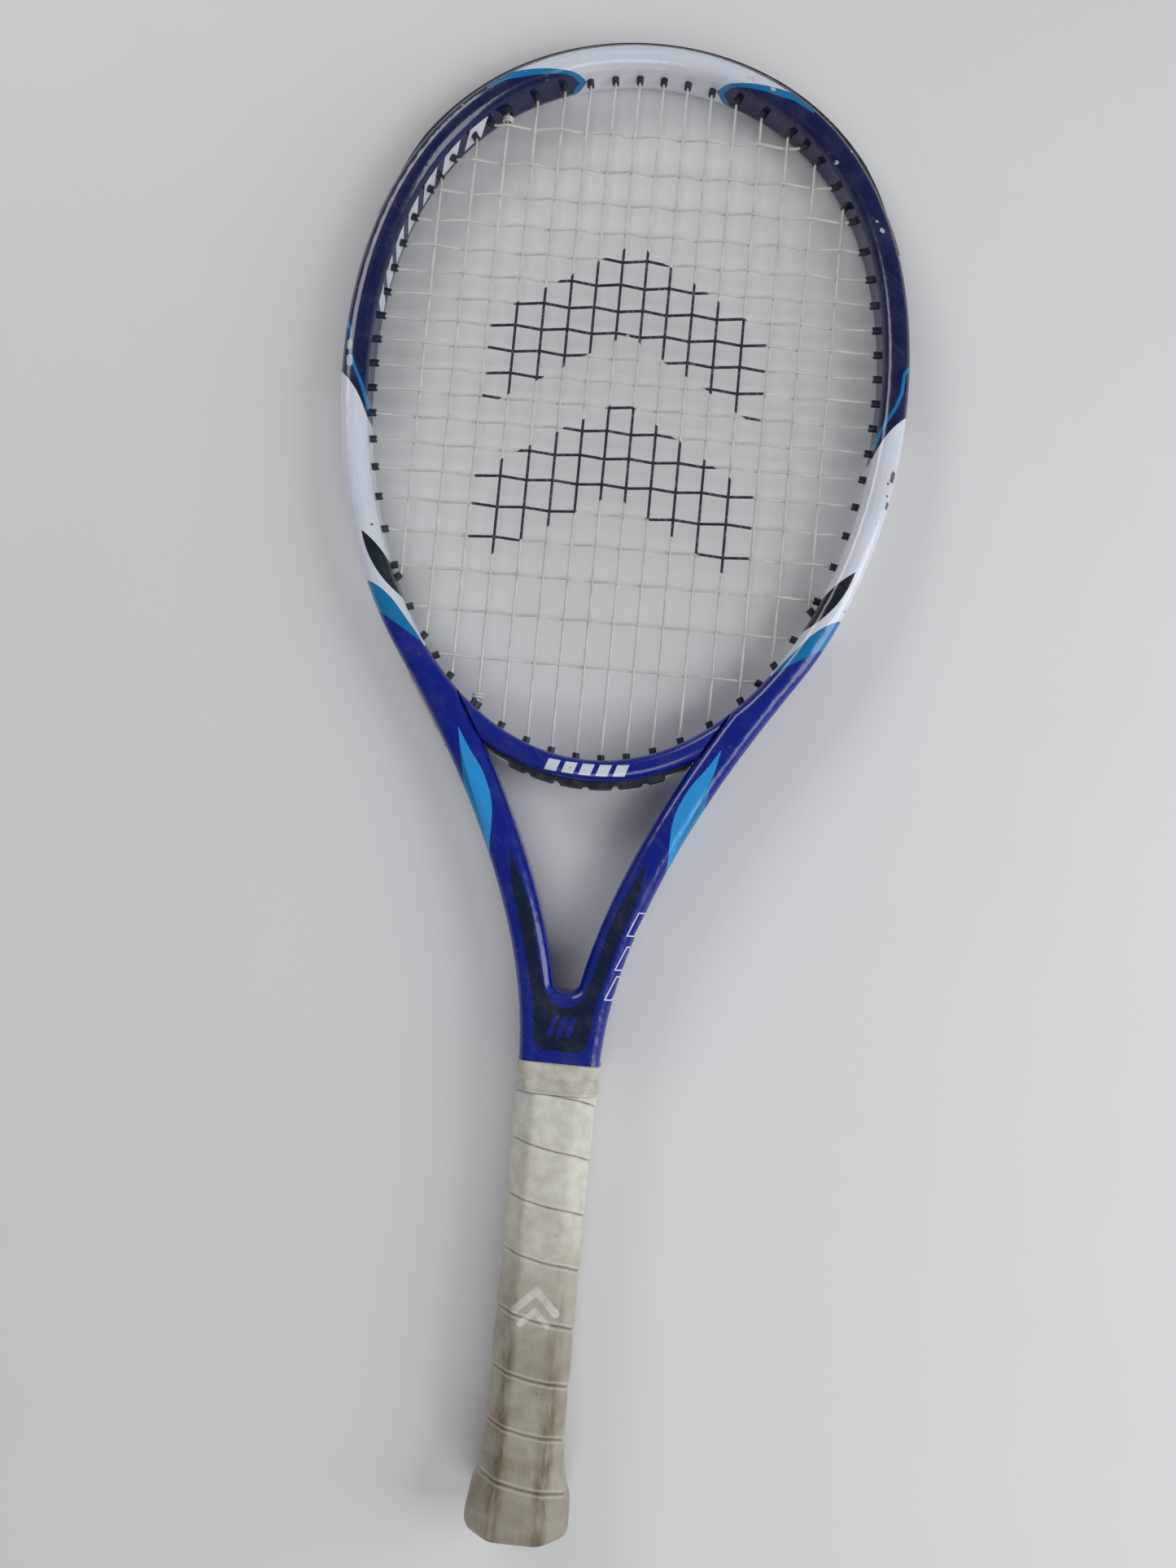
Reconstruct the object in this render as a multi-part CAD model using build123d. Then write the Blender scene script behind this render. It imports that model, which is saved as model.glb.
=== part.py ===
from build123d import *

import os
from math import cos, pi, radians, sin, tan

# A strung tennis racket. Lengths in millimetres.
# Frame: origin at the centre of the butt's end face, +Y towards the crown of the head,
# +Z square to the string plane, X across.

# ---- Overall sizes ----
LENGTH = 685.0            # butt face to the crown of the bumper guard
HEAD_WIDTH = 243.1        # string area, side to side
HEAD_LENGTH = 335.0       # string area, crown to bridge
BEAM = 23.0               # thickness of the frame, front to back
HANDLE_LENGTH = 193.4     # butt face to the shoulder of the shaft

# ---- Frame tube ----
TUBE_WIDTH = 12.6         # hoop tube, inner wall to outer wall
CROWN_SLIMMING = 1.1      # how much narrower the tube is at the crown
LEG_WIDTH = 16.0          # each leg of the throat
SHAFT_WIDTH = 36.0        # both legs side by side, above the handle
HANDLE_TUBE = 23.0        # both legs side by side, inside the handle
WALL = 1.8                # laminate
EDGE_ROUND = 5.4          # rounding of the tube's front and back edges
BRIDGE_BEAM = 21.0        # thickness of the bridge, front to back
BRIDGE_ROUND = 4.4        # rounding of its edges
BRIDGE_WIDTH = 9.7        # throat bridge, string side to handle side
STEM_LENGTH = 39.2        # shoulder to the bottom of the throat opening
THROAT_ROUND = 4.6        # corner radius at the bottom of the throat opening
SHOULDER_LENGTH = 8.0     # taper from the shaft down to the tube in the handle
TUBE_END = 42.0           # height of the tube's open ends above the butt face
JOINT_GAP = 0.05          # bonded joint between bridge and legs

# ---- Shape of the hoop: shares of its half width or half length ----
EGG_ACROSS = 0.0216
SQUARE_ACROSS = 0.0108
EGG_ALONG = 0.0756
LEG_ANGLE = -50.0         # where the legs leave the hoop, in degrees
LEG_BLEND = 0.1           # how far below the legs' start the hoop's outline still counts, in radians
LEG_PULL_HEAD = 0.62      # how stiffly the leg leaves the hoop, share of the leg's span
LEG_PULL_SHAFT = 0.14     # and how stiffly it meets the shaft

# ---- Grommets, guard and strings ----
GROOVE_WIDTH = 7.0        # string groove round the outside of the hoop
GROOVE_DEPTH = 2.2
STRIP_BASE = 1.0          # plate of a grommet strip, on the groove's floor
STRIP_FIT = 0.1           # strip to groove, each side
CHANNEL_WIDTH = 4.4       # gap between a strip's two lips, where the string lies
BUMPER_PROUD = 1.2        # how far the guard stands out of the tube
BUMPER_SKIRT = 4.8        # half width of the guard's skirt
BUMPER_REACH = 590.0 / 685.0   # how far down the guard comes, share of the length
BARREL_RADIUS = 1.7       # grommet barrel outside
BARREL_BORE = 1.0         # and inside
BARREL_PROUD = 3.0        # barrel standing inside the hoop
BARREL_FIT = 0.08         # barrel to drilled hole
TIE_RADIUS = 2.7          # barrel that takes a main string and a tail
TIE_BORE = 2.05
NORMAL_SHARE = 0.65       # how far a barrel leans from the string to the wall's normal
THROAT_LIP = 3.2          # how far the bridge strip's lips stand out of the bridge
THROAT_STRIP_HALF = 36.0  # half length of the bridge strip
STRING_RADIUS = 0.65
STRING_GAP = 0.05         # main to cross, and string to string
LOOP_GAP = 0.12           # string's loop to the strip under it
MAINS = 16
MAIN_CLOSING = 0.987      # the mains close in slightly towards the bridge
CROSSES = 19
KNOT_TURN = 2.1           # radius of a knot's turns
KNOT_GAP = 0.4            # knot to grommet barrel
WEAVE_SPARE = 0.1         # extra height of a cross at a main, taken up by its bend
BEND = 4.0                # largest bend radius in a string
EXIT_BEND = 1.0           # bend where a string turns out of a grommet
RIDE_SHARES = (0.15, 0.33, 0.5, 0.67, 0.85)   # places along a string that rides over the loops
RIDE_MIDDLE = 2           # the middle one, where the mains' string ends and the crosses' starts
TAIL = 3.7                # string's tail beyond its knot

# ---- Handle ----
PALLET_HALF = 15.6        # half width of the moulded handle
FLATTENING = 2.2          # half depth of the handle is this much less than its half width
BEVEL = 7.2               # leg of the handle's corner bevels
PALLET_RECESS = 1.2       # seat for the butt cap
PALLET_TOP = 180.5
PALLET_FIT = 0.1          # pallet to frame tube
CAP_TOP = 38.0            # top of the butt cap's sleeve
CAP_FLOOR = 3.0           # end wall of the butt cap
BUTT_HALF = 20.8          # widest half width of the butt cap
BUTT_HEIGHT = 10.0        # height of that place
GRIP_THICKNESS = 1.7
GRIP_START = 5.0
GRIP_TOP = 187.5
GRIP_SWELL = 0.7          # extra half width at the top, where the wrap doubles up
TAPE_THICKNESS = 0.2
TAPE_LOW = 181.5
TAPE_HIGH = 194.5
TAPE_FIT = 0.03
COLLAR_LOW = 188.3
COLLAR_HIGH = 201.1
COLLAR_WALL = 0.55
STAPLE_WIRE = 0.7
STAPLE_WIDTH = 10.0
STAPLE_LEG = 6.0
STAPLE_HEIGHT = 28.0
TACK_HEIGHT = 6.5

half_width = HEAD_WIDTH / 2
half_length = HEAD_LENGTH / 2
head_middle = LENGTH - BUMPER_PROUD - TUBE_WIDTH + CROWN_SLIMMING - half_length
throat_bottom = HANDLE_LENGTH + STEM_LENGTH
loop_inset = GROOVE_DEPTH - STRIP_BASE - LOOP_GAP - STRING_RADIUS
strip_half = GROOVE_WIDTH / 2 - STRIP_FIT
bumper_low = BUMPER_REACH * LENGTH
weave = 2 * STRING_RADIUS + STRING_GAP


def solve(function, low, high):
    """Root of a function that changes sign once between low and high."""
    rising = function(low) < 0
    for _ in range(48):
        middle = (low + high) / 2
        if (function(middle) < 0) == rising:
            low = middle
        else:
            high = middle
    return (low + high) / 2


# ---- Plan outlines ----
def hoop_normal(angle):
    """Outward normal of the hoop's inner outline."""
    across = half_width * (-sin(angle) - 2 * EGG_ACROSS * cos(2 * angle) + 3 * SQUARE_ACROSS * sin(3 * angle))
    along = half_length * (cos(angle) - 2 * EGG_ALONG * sin(2 * angle))
    return Vector(along, -across).normalized()


def hoop_point(angle, offset=0.0):
    """Point of the egg-shaped inner outline, moved outwards by an offset."""
    across = half_width * (cos(angle) - EGG_ACROSS * sin(2 * angle) - SQUARE_ACROSS * cos(3 * angle))
    along = head_middle + half_length * (sin(angle) + EGG_ALONG * (1 + cos(2 * angle)))
    return Vector(across, along) + hoop_normal(angle) * offset


def tube_width(angle):
    """Width of the hoop tube, which slims towards the crown."""
    return TUBE_WIDTH - CROWN_SLIMMING * max(0.0, sin(angle)) ** 2


def leg_point(share, inset):
    """Point of the right leg's outer edge, from hoop (0) to shoulder (1), moved inwards."""
    start_angle = radians(LEG_ANGLE)
    start = hoop_point(start_angle, tube_width(start_angle))
    end = Vector(SHAFT_WIDTH / 2, HANDLE_LENGTH)
    span = (start - end).length
    normal = hoop_normal(start_angle)
    first = start + Vector(normal.Y, -normal.X) * LEG_PULL_HEAD * span
    second = end + Vector(0, 1) * LEG_PULL_SHAFT * span
    rest = 1 - share
    place = start * rest**3 + first * 3 * rest**2 * share + second * 3 * rest * share**2 + end * share**3
    heading = (first - start) * rest**2 + (second - first) * 2 * rest * share + (end - second) * share**2
    inward = Vector(heading.Y, -heading.X).normalized()
    return place + inward * inset


def leg_across(height, inset=0.0):
    """Half width of the throat's outer edge at a height, up to where the leg leaves the hoop."""
    level = min(height, leg_point(0, inset).Y - 0.01)
    return leg_point(solve(lambda share: leg_point(share, inset).Y - level, 0, 1), inset).X


def mirrored(points):
    return [Vector(-point.X, point.Y) for point in reversed(points)]


def hoop_face(offset):
    """Region inside the hoop's outline at an offset; offset is a number or a function."""
    reach = offset if callable(offset) else lambda angle: offset
    points = [hoop_point(radians(step), reach(radians(step))) for step in range(0, 360, 15)]
    return make_face(Spline(*points, periodic=True))


def throat_face(inset, low, shoulder):
    """Region between the legs' edges at an inset, closed straight across at both ends."""
    last = solve(lambda share: leg_point(share, inset).Y - low, 0, 1)
    right = [leg_point(last * step / 8, inset) for step in range(9)]
    left = mirrored(right)
    corners = [right[-1], *shoulder, *mirrored(shoulder), left[0]]
    return make_face([*Spline(*right).edges(), *Polyline(*corners).edges(),
                      *Spline(*left).edges(), *Line(left[-1], right[0]).edges()])


def opening_face(growth):
    """The throat opening between the legs, grown into the legs."""
    face = throat_face(LEG_WIDTH - growth, throat_bottom - growth, [])
    corners = face.vertices().sort_by(Axis.Y)[:2]
    return fillet(corners, min(THROAT_ROUND, 0.85 * abs(corners[0].X)))


def outer_face(margin):
    """The whole frame's outside in plan, shrunk by a margin."""
    shoulder = [Vector(HANDLE_TUBE / 2 - margin, HANDLE_LENGTH - SHOULDER_LENGTH),
                Vector(HANDLE_TUBE / 2 - margin, TUBE_END - margin)]
    legs = throat_face(margin, HANDLE_LENGTH + 0.01, shoulder)
    return hoop_face(lambda angle: tube_width(angle) - margin) + legs


def slab(face, half_depth):
    return extrude(face, amount=half_depth, both=True)


def above(height):
    """A block that covers everything above a height."""
    size = 3 * LENGTH
    return Pos(0, height + size / 2, 0) * Box(size, size, size)


# ---- Grommet holes ----
def barrel_axis(angle, along):
    """Outward direction of a barrel: between the string's line and the wall's normal."""
    return (hoop_normal(angle) * NORMAL_SHARE + along * (1 - NORMAL_SHARE)).normalized()


def barrel_mouth(angle, along):
    return hoop_point(angle) - barrel_axis(angle, along) * BARREL_PROUD


def make_hole(angle, along):
    """One drilled hole as a dictionary: its mouth, the string's place outside, and its kind."""
    start = hoop_point(angle)
    axis = barrel_axis(angle, along)
    lean = axis.dot(hoop_normal(angle))
    out = start + axis * ((tube_width(angle) - loop_inset) / lean)
    kind = "hoop"
    if radians(-180 - LEG_ANGLE) < angle < radians(LEG_ANGLE):
        side = 1 if start.X > 0 else -1
        inner_edge = leg_across(start.Y, LEG_WIDTH)
        if abs(start.X) < inner_edge - GROOVE_WIDTH:
            out = start + axis * ((BRIDGE_WIDTH + STRIP_BASE + LOOP_GAP + STRING_RADIUS) / lean)
            kind = "bridge"
        else:
            reach = solve(lambda far: (start + axis * far).X * side
                          - leg_across((start + axis * far).Y, loop_inset), 0, 3 * TUBE_WIDTH)
            out = start + axis * reach
            kind = "leg"
    return {"mouth": start - axis * BARREL_PROUD, "out": out, "axis": axis, "kind": kind, "angle": angle}


def main_across(number, top):
    """Distance of a main's end from the centre line; number is -8..-1 or 1..8."""
    step = number - 0.5 if number > 0 else number + 0.5
    closing = 1.0 if top else MAIN_CLOSING
    return half_width * closing * (0.0955 * step + 0.000194 * step**3)


def cross_height(number):
    """Height of a cross string; number 1 is at the crown, the last at the bridge."""
    step = (CROSSES + 1) / 2 - number
    spread = 0.0811 + 0.0714 * step - 0.0005 * step**2 + 0.0001018 * step**3 + 1.065e-6 * step**5
    return head_middle + half_length * spread


def main_hole(number, top):
    place = main_across(number, top)
    along = Vector(0, 1) if top else Vector(0, -1)
    low, high = (radians(4), radians(176)) if top else (radians(-176), radians(-4))
    angle = solve(lambda trial: barrel_mouth(trial, along).X - place, low, high)
    return make_hole(angle, along)


def cross_hole(number, right):
    place = cross_height(number)
    along = Vector(1, 0) if right else Vector(-1, 0)
    low, high = (radians(-85), radians(85)) if right else (radians(95), radians(265))
    angle = solve(lambda trial: barrel_mouth(trial, along).Y - place, low, high)
    return make_hole(angle if right or angle <= pi else angle - 2 * pi, along)


numbers = [n for n in range(-MAINS // 2, MAINS // 2 + 1) if n]
main_top = {n: main_hole(n, True) for n in numbers}
main_bottom = {n: main_hole(n, False) for n in numbers}
cross_right = {n: cross_hole(n, True) for n in range(1, CROSSES + 1)}
cross_left = {n: cross_hole(n, False) for n in range(1, CROSSES + 1)}
tie_holes = [main_top[-6], main_bottom[-5]]
holes = [*main_top.values(), *main_bottom.values(), *cross_right.values(), *cross_left.values()]


def barrel_size(hole):
    return TIE_RADIUS if hole in tie_holes else BARREL_RADIUS


def bore_size(hole):
    return TIE_BORE if hole in tie_holes else BARREL_BORE


def rod(start, end, radius):
    """A round bar between two points."""
    length = (end - start).length
    place = Plane(origin=start, z_dir=end - start)
    return place * Pos(0, 0, length / 2) * Cylinder(radius, length)


def bar_through(hole, radius, before, beyond):
    """A round bar along a hole's axis; a tie-off hole's bar also takes the string's tail."""
    aside = Vector(0, 0, weave / 2 if hole in tie_holes else 0)
    start = hole["mouth"] - hole["axis"] * before
    end = hole["out"] + hole["axis"] * beyond
    return rod(start + aside, end + aside, radius)


leg_groove_low = min(main_bottom[5]["out"].Y, main_bottom[6]["out"].Y) - 2 * GROOVE_WIDTH


# ---- Frame ----
def make_frame():
    """Hollow hairpin: head and both legs in one bent tube, open at its two ends."""
    plan = outer_face(0) - hoop_face(0) - opening_face(0)
    body = slab(plan, BEAM / 2)
    edges = [edge for edge in body.edges() if abs(edge.center().Z) > BEAM / 2 - 0.01
             and edge.center().Y > TUBE_END + 1]
    body = fillet(edges, EDGE_ROUND)
    groove = slab(outer_face(-1) - outer_face(GROOVE_DEPTH), GROOVE_WIDTH / 2)
    body -= groove & above(leg_groove_low)
    hollow = outer_face(GROOVE_DEPTH + WALL) - hoop_face(WALL) - opening_face(WALL)
    web = Pos(0, throat_bottom / 2) * Rectangle(WALL, throat_bottom)
    body -= slab(hollow - web, BEAM / 2 - EDGE_ROUND)
    deep = outer_face(GROOVE_DEPTH + 2 * WALL) - hoop_face(2 * WALL) - opening_face(2 * WALL)
    body -= slab(deep - web, BEAM / 2 - WALL)
    drills = [bar_through(hole, barrel_size(hole) + BARREL_FIT, 1, GROOVE_DEPTH)
              for hole in holes if hole["kind"] != "bridge" or abs(hole["out"].X) > THROAT_STRIP_HALF]
    return body - drills


def make_bridge():
    """Throat bridge: a hollow curved bar bonded between the legs."""
    ring = slab(hoop_face(BRIDGE_WIDTH) - hoop_face(0), BRIDGE_BEAM / 2)
    edges = [edge for edge in ring.edges() if abs(edge.center().Z) > BRIDGE_BEAM / 2 - 0.01]
    ring = fillet(edges, BRIDGE_ROUND)
    body = ring & slab(opening_face(-JOINT_GAP), BEAM)
    hollow = (hoop_face(BRIDGE_WIDTH - WALL) - hoop_face(WALL)) & opening_face(-JOINT_GAP - WALL)
    body -= slab(hollow, BRIDGE_BEAM / 2 - BRIDGE_ROUND)
    drills = [bar_through(hole, barrel_size(hole) + BARREL_FIT, 1, GROOVE_DEPTH)
              for hole in main_bottom.values() if hole["kind"] != "hoop"]
    return body - drills


# ---- Grommet strips and guard ----
def with_barrels(plate, channel, group):
    """A plate with a barrel for each hole of a group, its string channel and the bores."""
    barrels = [bar_through(hole, barrel_size(hole), 0, 0) for hole in group]
    bores = [bar_through(hole, bore_size(hole), 1, GROOVE_DEPTH) for hole in group]
    return (plate + barrels) - channel - bores


def make_side_strip(side):
    """Grommet strip in the groove of one side of the hoop, from the guard to the leg."""
    band = slab(outer_face(0) - outer_face(GROOVE_DEPTH - STRIP_FIT), strip_half)
    span = above(leg_groove_low + STRIP_FIT) - above(bumper_low - STRIP_FIT)
    half = Pos(side * LENGTH / 2, head_middle, 0) * Box(LENGTH - 1, 2 * LENGTH, LENGTH)
    channel = slab(outer_face(-2 * GROOVE_DEPTH) - outer_face(GROOVE_DEPTH - STRIP_BASE), CHANNEL_WIDTH / 2)
    group = [hole for hole in holes if hole["kind"] != "bridge" and hole["out"].X * side > 0
             and hole["out"].Y < bumper_low]
    return with_barrels(band & span & half, channel, group)


def make_bumper():
    """Guard round the crown: a strip with barrels and a skirt that stands proud of the tube."""
    band = slab(outer_face(0) - outer_face(GROOVE_DEPTH - STRIP_FIT), strip_half)
    skirt = slab(outer_face(-BUMPER_PROUD) - outer_face(0), BUMPER_SKIRT)
    channel = slab(outer_face(-2 * GROOVE_DEPTH) - outer_face(GROOVE_DEPTH - STRIP_BASE), CHANNEL_WIDTH / 2)
    group = [hole for hole in holes if hole["out"].Y > bumper_low]
    return with_barrels((band + skirt) & above(bumper_low), channel, group)


def make_throat_strip():
    """Strip under the bridge, with two scalloped lips that hide the strings' loops."""
    reach = BRIDGE_WIDTH + JOINT_GAP
    group = [hole for hole in main_bottom.values() if hole["kind"] == "bridge"]
    half = max(abs(hole["out"].X) for hole in group) + BARREL_RADIUS
    below = Pos(0, throat_bottom, 0) * Box(2 * half, 2 * (head_middle - throat_bottom), LENGTH)
    middle = Pos(0, throat_bottom, 0) * Box(2 * THROAT_STRIP_HALF, 2 * (head_middle - throat_bottom), LENGTH)
    plate = slab(hoop_face(reach + STRIP_BASE) - hoop_face(reach), GROOVE_WIDTH / 2 + STRIP_BASE) & below
    lips = slab(hoop_face(reach + THROAT_LIP) - hoop_face(reach), GROOVE_WIDTH / 2 + STRIP_BASE) & middle
    opening = slab(opening_face(-JOINT_GAP), BEAM)
    channel = slab(hoop_face(reach + 3 * THROAT_LIP) - hoop_face(reach + STRIP_BASE), CHANNEL_WIDTH / 2)
    angles = sorted(hole["angle"] for hole in group)
    for first, second in zip(angles, angles[1:]):
        place = hoop_point((first + second) / 2, reach + THROAT_LIP + STRIP_BASE)
        lips -= Pos(place.X, place.Y, 0) * Cylinder(THROAT_LIP - STRIP_BASE, BEAM)
    return with_barrels((plate + lips) & opening, channel, group)


# ---- Strings ----
def rounded_path(points):
    """Straight runs joined by tangent arcs, each as large as its runs and its limit allow."""
    edges = []
    start = points[0]
    for before, corner, after in zip(points, points[1:], points[2:]):
        back, ahead = (before - corner), (after - corner)
        turn = radians(180 - back.get_angle(ahead))
        if turn < radians(0.5):
            continue
        limit = BEND if turn < radians(45) else EXIT_BEND
        radius = min(limit, 0.45 * min(back.length, ahead.length) / tan(turn / 2))
        trim = radius * tan(turn / 2)
        first = corner + back.normalized() * trim
        last = corner + ahead.normalized() * trim
        bisector = (back.normalized() + ahead.normalized()).normalized()
        top = corner + bisector * (radius / cos(turn / 2) - radius)
        edges += [Edge.make_line(start, first), Edge.make_three_point_arc(first, top, last)]
        start = last
    edges.append(Edge.make_line(start, points[-1]))
    return Wire(edges)


def string_along(points):
    path = rounded_path(points)
    ring = Plane(origin=path @ 0, z_dir=path % 0) * Circle(STRING_RADIUS)
    return sweep(ring, path=path)


def outside_at(height, side, lift):
    """A string's place on the outside of the frame's lower half, at a height."""
    if height < leg_point(0, loop_inset - lift).Y:
        return Vector(side * leg_across(height, loop_inset - lift), height)
    place = solve(lambda trial: outside(trial, lift).Y - height, radians(LEG_ANGLE) - LEG_BLEND, pi / 3)
    return Vector(side * outside(place, lift).X, height)


def outside(angle, lift):
    """A string's place on the outside of the hoop, lifted outwards."""
    return hoop_point(angle, tube_width(angle) - loop_inset + lift)


def turn_to(first, second):
    """Angle round the hoop from one hole to another, the short way."""
    return (second["angle"] - first["angle"] + pi) % (2 * pi) - pi


def between(first, second, share, lift):
    """A string's place on the outside of the frame, part of the way from one hole to another."""
    low, high = sorted([first["out"].Y, second["out"].Y])
    if high > head_middle:
        return outside(first["angle"] + turn_to(first, second) * share, lift)
    height = first["out"].Y + (second["out"].Y - first["out"].Y) * share
    return outside_at(height, 1 if first["out"].X > 0 else -1, lift)


def loop(first, second):
    """Points of a string's loop outside the frame; it steps aside where it passes a hole."""
    if first["kind"] == "bridge":
        angle = (first["angle"] + second["angle"]) / 2
        return [hoop_point(angle, BRIDGE_WIDTH + STRIP_BASE + LOOP_GAP + STRING_RADIUS)]
    gap = turn_to(first, second)
    passed = [hole for hole in holes if hole is not first and 0 < turn_to(first, hole) / gap < 0.999]
    if not passed:
        return [between(first, second, 0.5, 0)]
    aside = Vector(0, 0, weave if first in cross_right.values() or first in cross_left.values() else -weave)
    return [between(first, passed[0], 0.5, 0) + aside * 0.5, passed[0]["out"] + aside,
            between(passed[0], second, 0.5, 0) + aside * 0.5]


def ride_over(first, second):
    """Points of a string that lies on top of the loops, from one hole to a distant one."""
    return [between(first, second, share, weave) for share in RIDE_SHARES]


def tail(hole, along):
    """End of a string: through the tie-off barrel beside a main, and out past its knot."""
    aside = Vector(0, 0, weave)
    return [hole["mouth"] - along * TAIL + aside, hole["mouth"] + aside, hole["out"] + aside]


def main_points():
    """The mains: one string that runs down and up, from its knot to the right-hand end."""
    points = [*tail(main_top[-6], Vector(0, 1)), *ride_over(main_top[-6], main_top[-8])]
    for count, number in enumerate(numbers):
        ends = [main_top[number], main_bottom[number]]
        entry, leave = ends if count % 2 == 0 else ends[::-1]
        points += [entry["out"], entry["mouth"], leave["mouth"], leave["out"]]
        if number != numbers[-1]:
            after = numbers[count + 1]
            points += loop(leave, (main_top if leave is main_top[number] else main_bottom)[after])
    return [*points, *ride_over(main_top[MAINS // 2], cross_right[1])[:RIDE_MIDDLE + 1]]


def crossings(number, height):
    """Places where a cross passes the mains, over and under in turn."""
    places = []
    for main in numbers:
        top, bottom = main_top[main]["mouth"], main_bottom[main]["mouth"]
        if bottom.Y + STRING_RADIUS < height < top.Y - STRING_RADIUS:
            over = 1 if (numbers.index(main) + number) % 2 else -1
            across = bottom.X + (top.X - bottom.X) * (height - bottom.Y) / (top.Y - bottom.Y)
            places.append(Vector(across, height, over * (weave + WEAVE_SPARE)))
    return places


def cross_points():
    """The crosses: one string from the mains' right-hand end down to its own knot."""
    points = ride_over(main_top[MAINS // 2], cross_right[1])[RIDE_MIDDLE:]
    for number in range(1, CROSSES + 1):
        ends = [cross_right[number], cross_left[number]]
        places = crossings(number, cross_height(number))
        if number % 2:
            places.reverse()
        entry, leave = ends if number % 2 else ends[::-1]
        points += [entry["out"], entry["mouth"], *places, leave["mouth"], leave["out"]]
        if number < CROSSES:
            points += loop(leave, (cross_left if number % 2 else cross_right)[number + 1])
    last = main_bottom[-5]
    return [*points, *ride_over(cross_left[CROSSES], last), *tail(last, Vector(0, -1))[::-1]]


def make_knot(hole, along):
    """Two turns of string round a main and a tail."""
    turns = []
    for count in (1, 2):
        place = hole["mouth"] - along * (count * weave + KNOT_GAP) + Vector(0, 0, weave / 2)
        turns.append(Plane(origin=place, z_dir=along) * Torus(KNOT_TURN, weave / 2))
    return turns[0] + turns[1]


# ---- Handle ----
def octagon(height, half, depth, bevel):
    """An eight-sided section of the handle at a height."""
    quarter = [(half, depth - bevel), (half - bevel, depth)]
    ring = [*quarter, *[(-x, z) for x, z in reversed(quarter)]]
    ring += [(-x, -z) for x, z in ring]
    return Face(Wire.make_polygon([Vector(x, height, z) for x, z in ring], close=True))


def prism(sections):
    """A bar through eight-sided sections, each (height, half width, half depth, bevel)."""
    bars = [loft([octagon(*low), octagon(*high)], ruled=True) for low, high in zip(sections, sections[1:])]
    return bars[0] + bars[1:] if len(bars) > 1 else bars[0]


def grown(sections, by):
    return [(height, half + by, depth + by, bevel + by / 2) for height, half, depth, bevel in sections]


def at(sections, height):
    """Section between two given ones."""
    for low, high in zip(sections, sections[1:]):
        if low[0] <= height <= high[0]:
            share = (height - low[0]) / (high[0] - low[0])
            return tuple(a + (b - a) * share for a, b in zip(low, high))


def handle_section(height, half):
    return (height, half, half - FLATTENING, BEVEL)


shaft_section = (TAPE_HIGH, SHAFT_WIDTH / 2, BEAM / 2, 0.58 * EDGE_ROUND)
core = [handle_section(GRIP_START, BUTT_HALF - 0.4),
        handle_section(BUTT_HEIGHT, BUTT_HALF),
        handle_section(2 * BUTT_HEIGHT, BUTT_HALF - 0.45 * (BUTT_HALF - PALLET_HALF)),
        handle_section(CAP_TOP - 0.5 * BUTT_HEIGHT, PALLET_HALF + 0.3),
        handle_section(CAP_TOP, PALLET_HALF),
        handle_section(GRIP_TOP - 50, PALLET_HALF),
        handle_section(GRIP_TOP, PALLET_HALF)]
grip = grown(core[:-1], GRIP_THICKNESS) + grown(core[-1:], GRIP_THICKNESS + GRIP_SWELL)


def make_pallet():
    """Moulded handle on the frame's legs, with a seat for the butt cap."""
    seat = grown([handle_section(CAP_FLOOR + PALLET_FIT, PALLET_HALF),
                  handle_section(CAP_TOP + PALLET_FIT, PALLET_HALF)], -PALLET_RECESS)
    body = prism(seat) + prism([handle_section(CAP_TOP + PALLET_FIT, PALLET_HALF),
                                handle_section(PALLET_TOP, PALLET_HALF)])
    tube = Box(HANDLE_TUBE + 2 * PALLET_FIT, LENGTH, BEAM + 2 * PALLET_FIT)
    tube = fillet(tube.edges().filter_by(Axis.Y), EDGE_ROUND)
    vent = Box(HANDLE_TUBE / 2, LENGTH, BEAM / 2)
    return body - Pos(0, TUBE_END - PALLET_FIT + LENGTH / 2, 0) * tube - vent - make_cap_staples()


def make_cap():
    """Flared end cap that sleeves the handle's lower end."""
    rim = [handle_section(0, BUTT_HALF - 0.5), handle_section(GRIP_START, BUTT_HALF + GRIP_THICKNESS - 0.4)]
    body = prism(rim) + prism(core[:5])
    seat = grown([handle_section(CAP_FLOOR, PALLET_HALF), handle_section(CAP_TOP + 1, PALLET_HALF)],
                 PALLET_FIT - PALLET_RECESS)
    return body - prism(seat) - make_cap_staples() - make_tack()


def make_staple(width, leg, depth):
    """A wire staple whose legs point along -Z."""
    bar = Pos(0, 0, depth - STAPLE_WIRE / 2) * Box(width, STAPLE_WIRE, STAPLE_WIRE)
    legs = [Pos(side * (width - STAPLE_WIRE) / 2, 0, depth - leg / 2) * Box(STAPLE_WIRE, STAPLE_WIRE, leg)
            for side in (-1, 1)]
    return bar + legs


def make_cap_staples():
    """One staple on the front and one on the back, flush in the cap under the grip."""
    depth = at(core, STAPLE_HEIGHT + STAPLE_WIRE)[2]
    one = Pos(0, STAPLE_HEIGHT, 0) * make_staple(STAPLE_WIDTH, STAPLE_LEG, depth)
    return one + Rot(0, 180, 0) * one


def make_tack():
    """Staple that holds the grip's starting end to the cap, at the back."""
    depth = at(grip, TACK_HEIGHT)[2] - STAPLE_WIRE
    return Rot(0, 180, 0) * Pos(0, TACK_HEIGHT, 0) * make_staple(0.6 * STAPLE_WIDTH, STAPLE_LEG, depth)


def make_grip():
    return prism(grip) - prism(core) - make_tack()


tape_inside = [at(grip, TAPE_LOW), grip[-1], shaft_section]


def make_tape():
    """Thin tape over the grip's upper end and onto the shaft."""
    return prism(grown(tape_inside, TAPE_THICKNESS + TAPE_FIT)) - prism(grown(tape_inside, TAPE_FIT))


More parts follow.
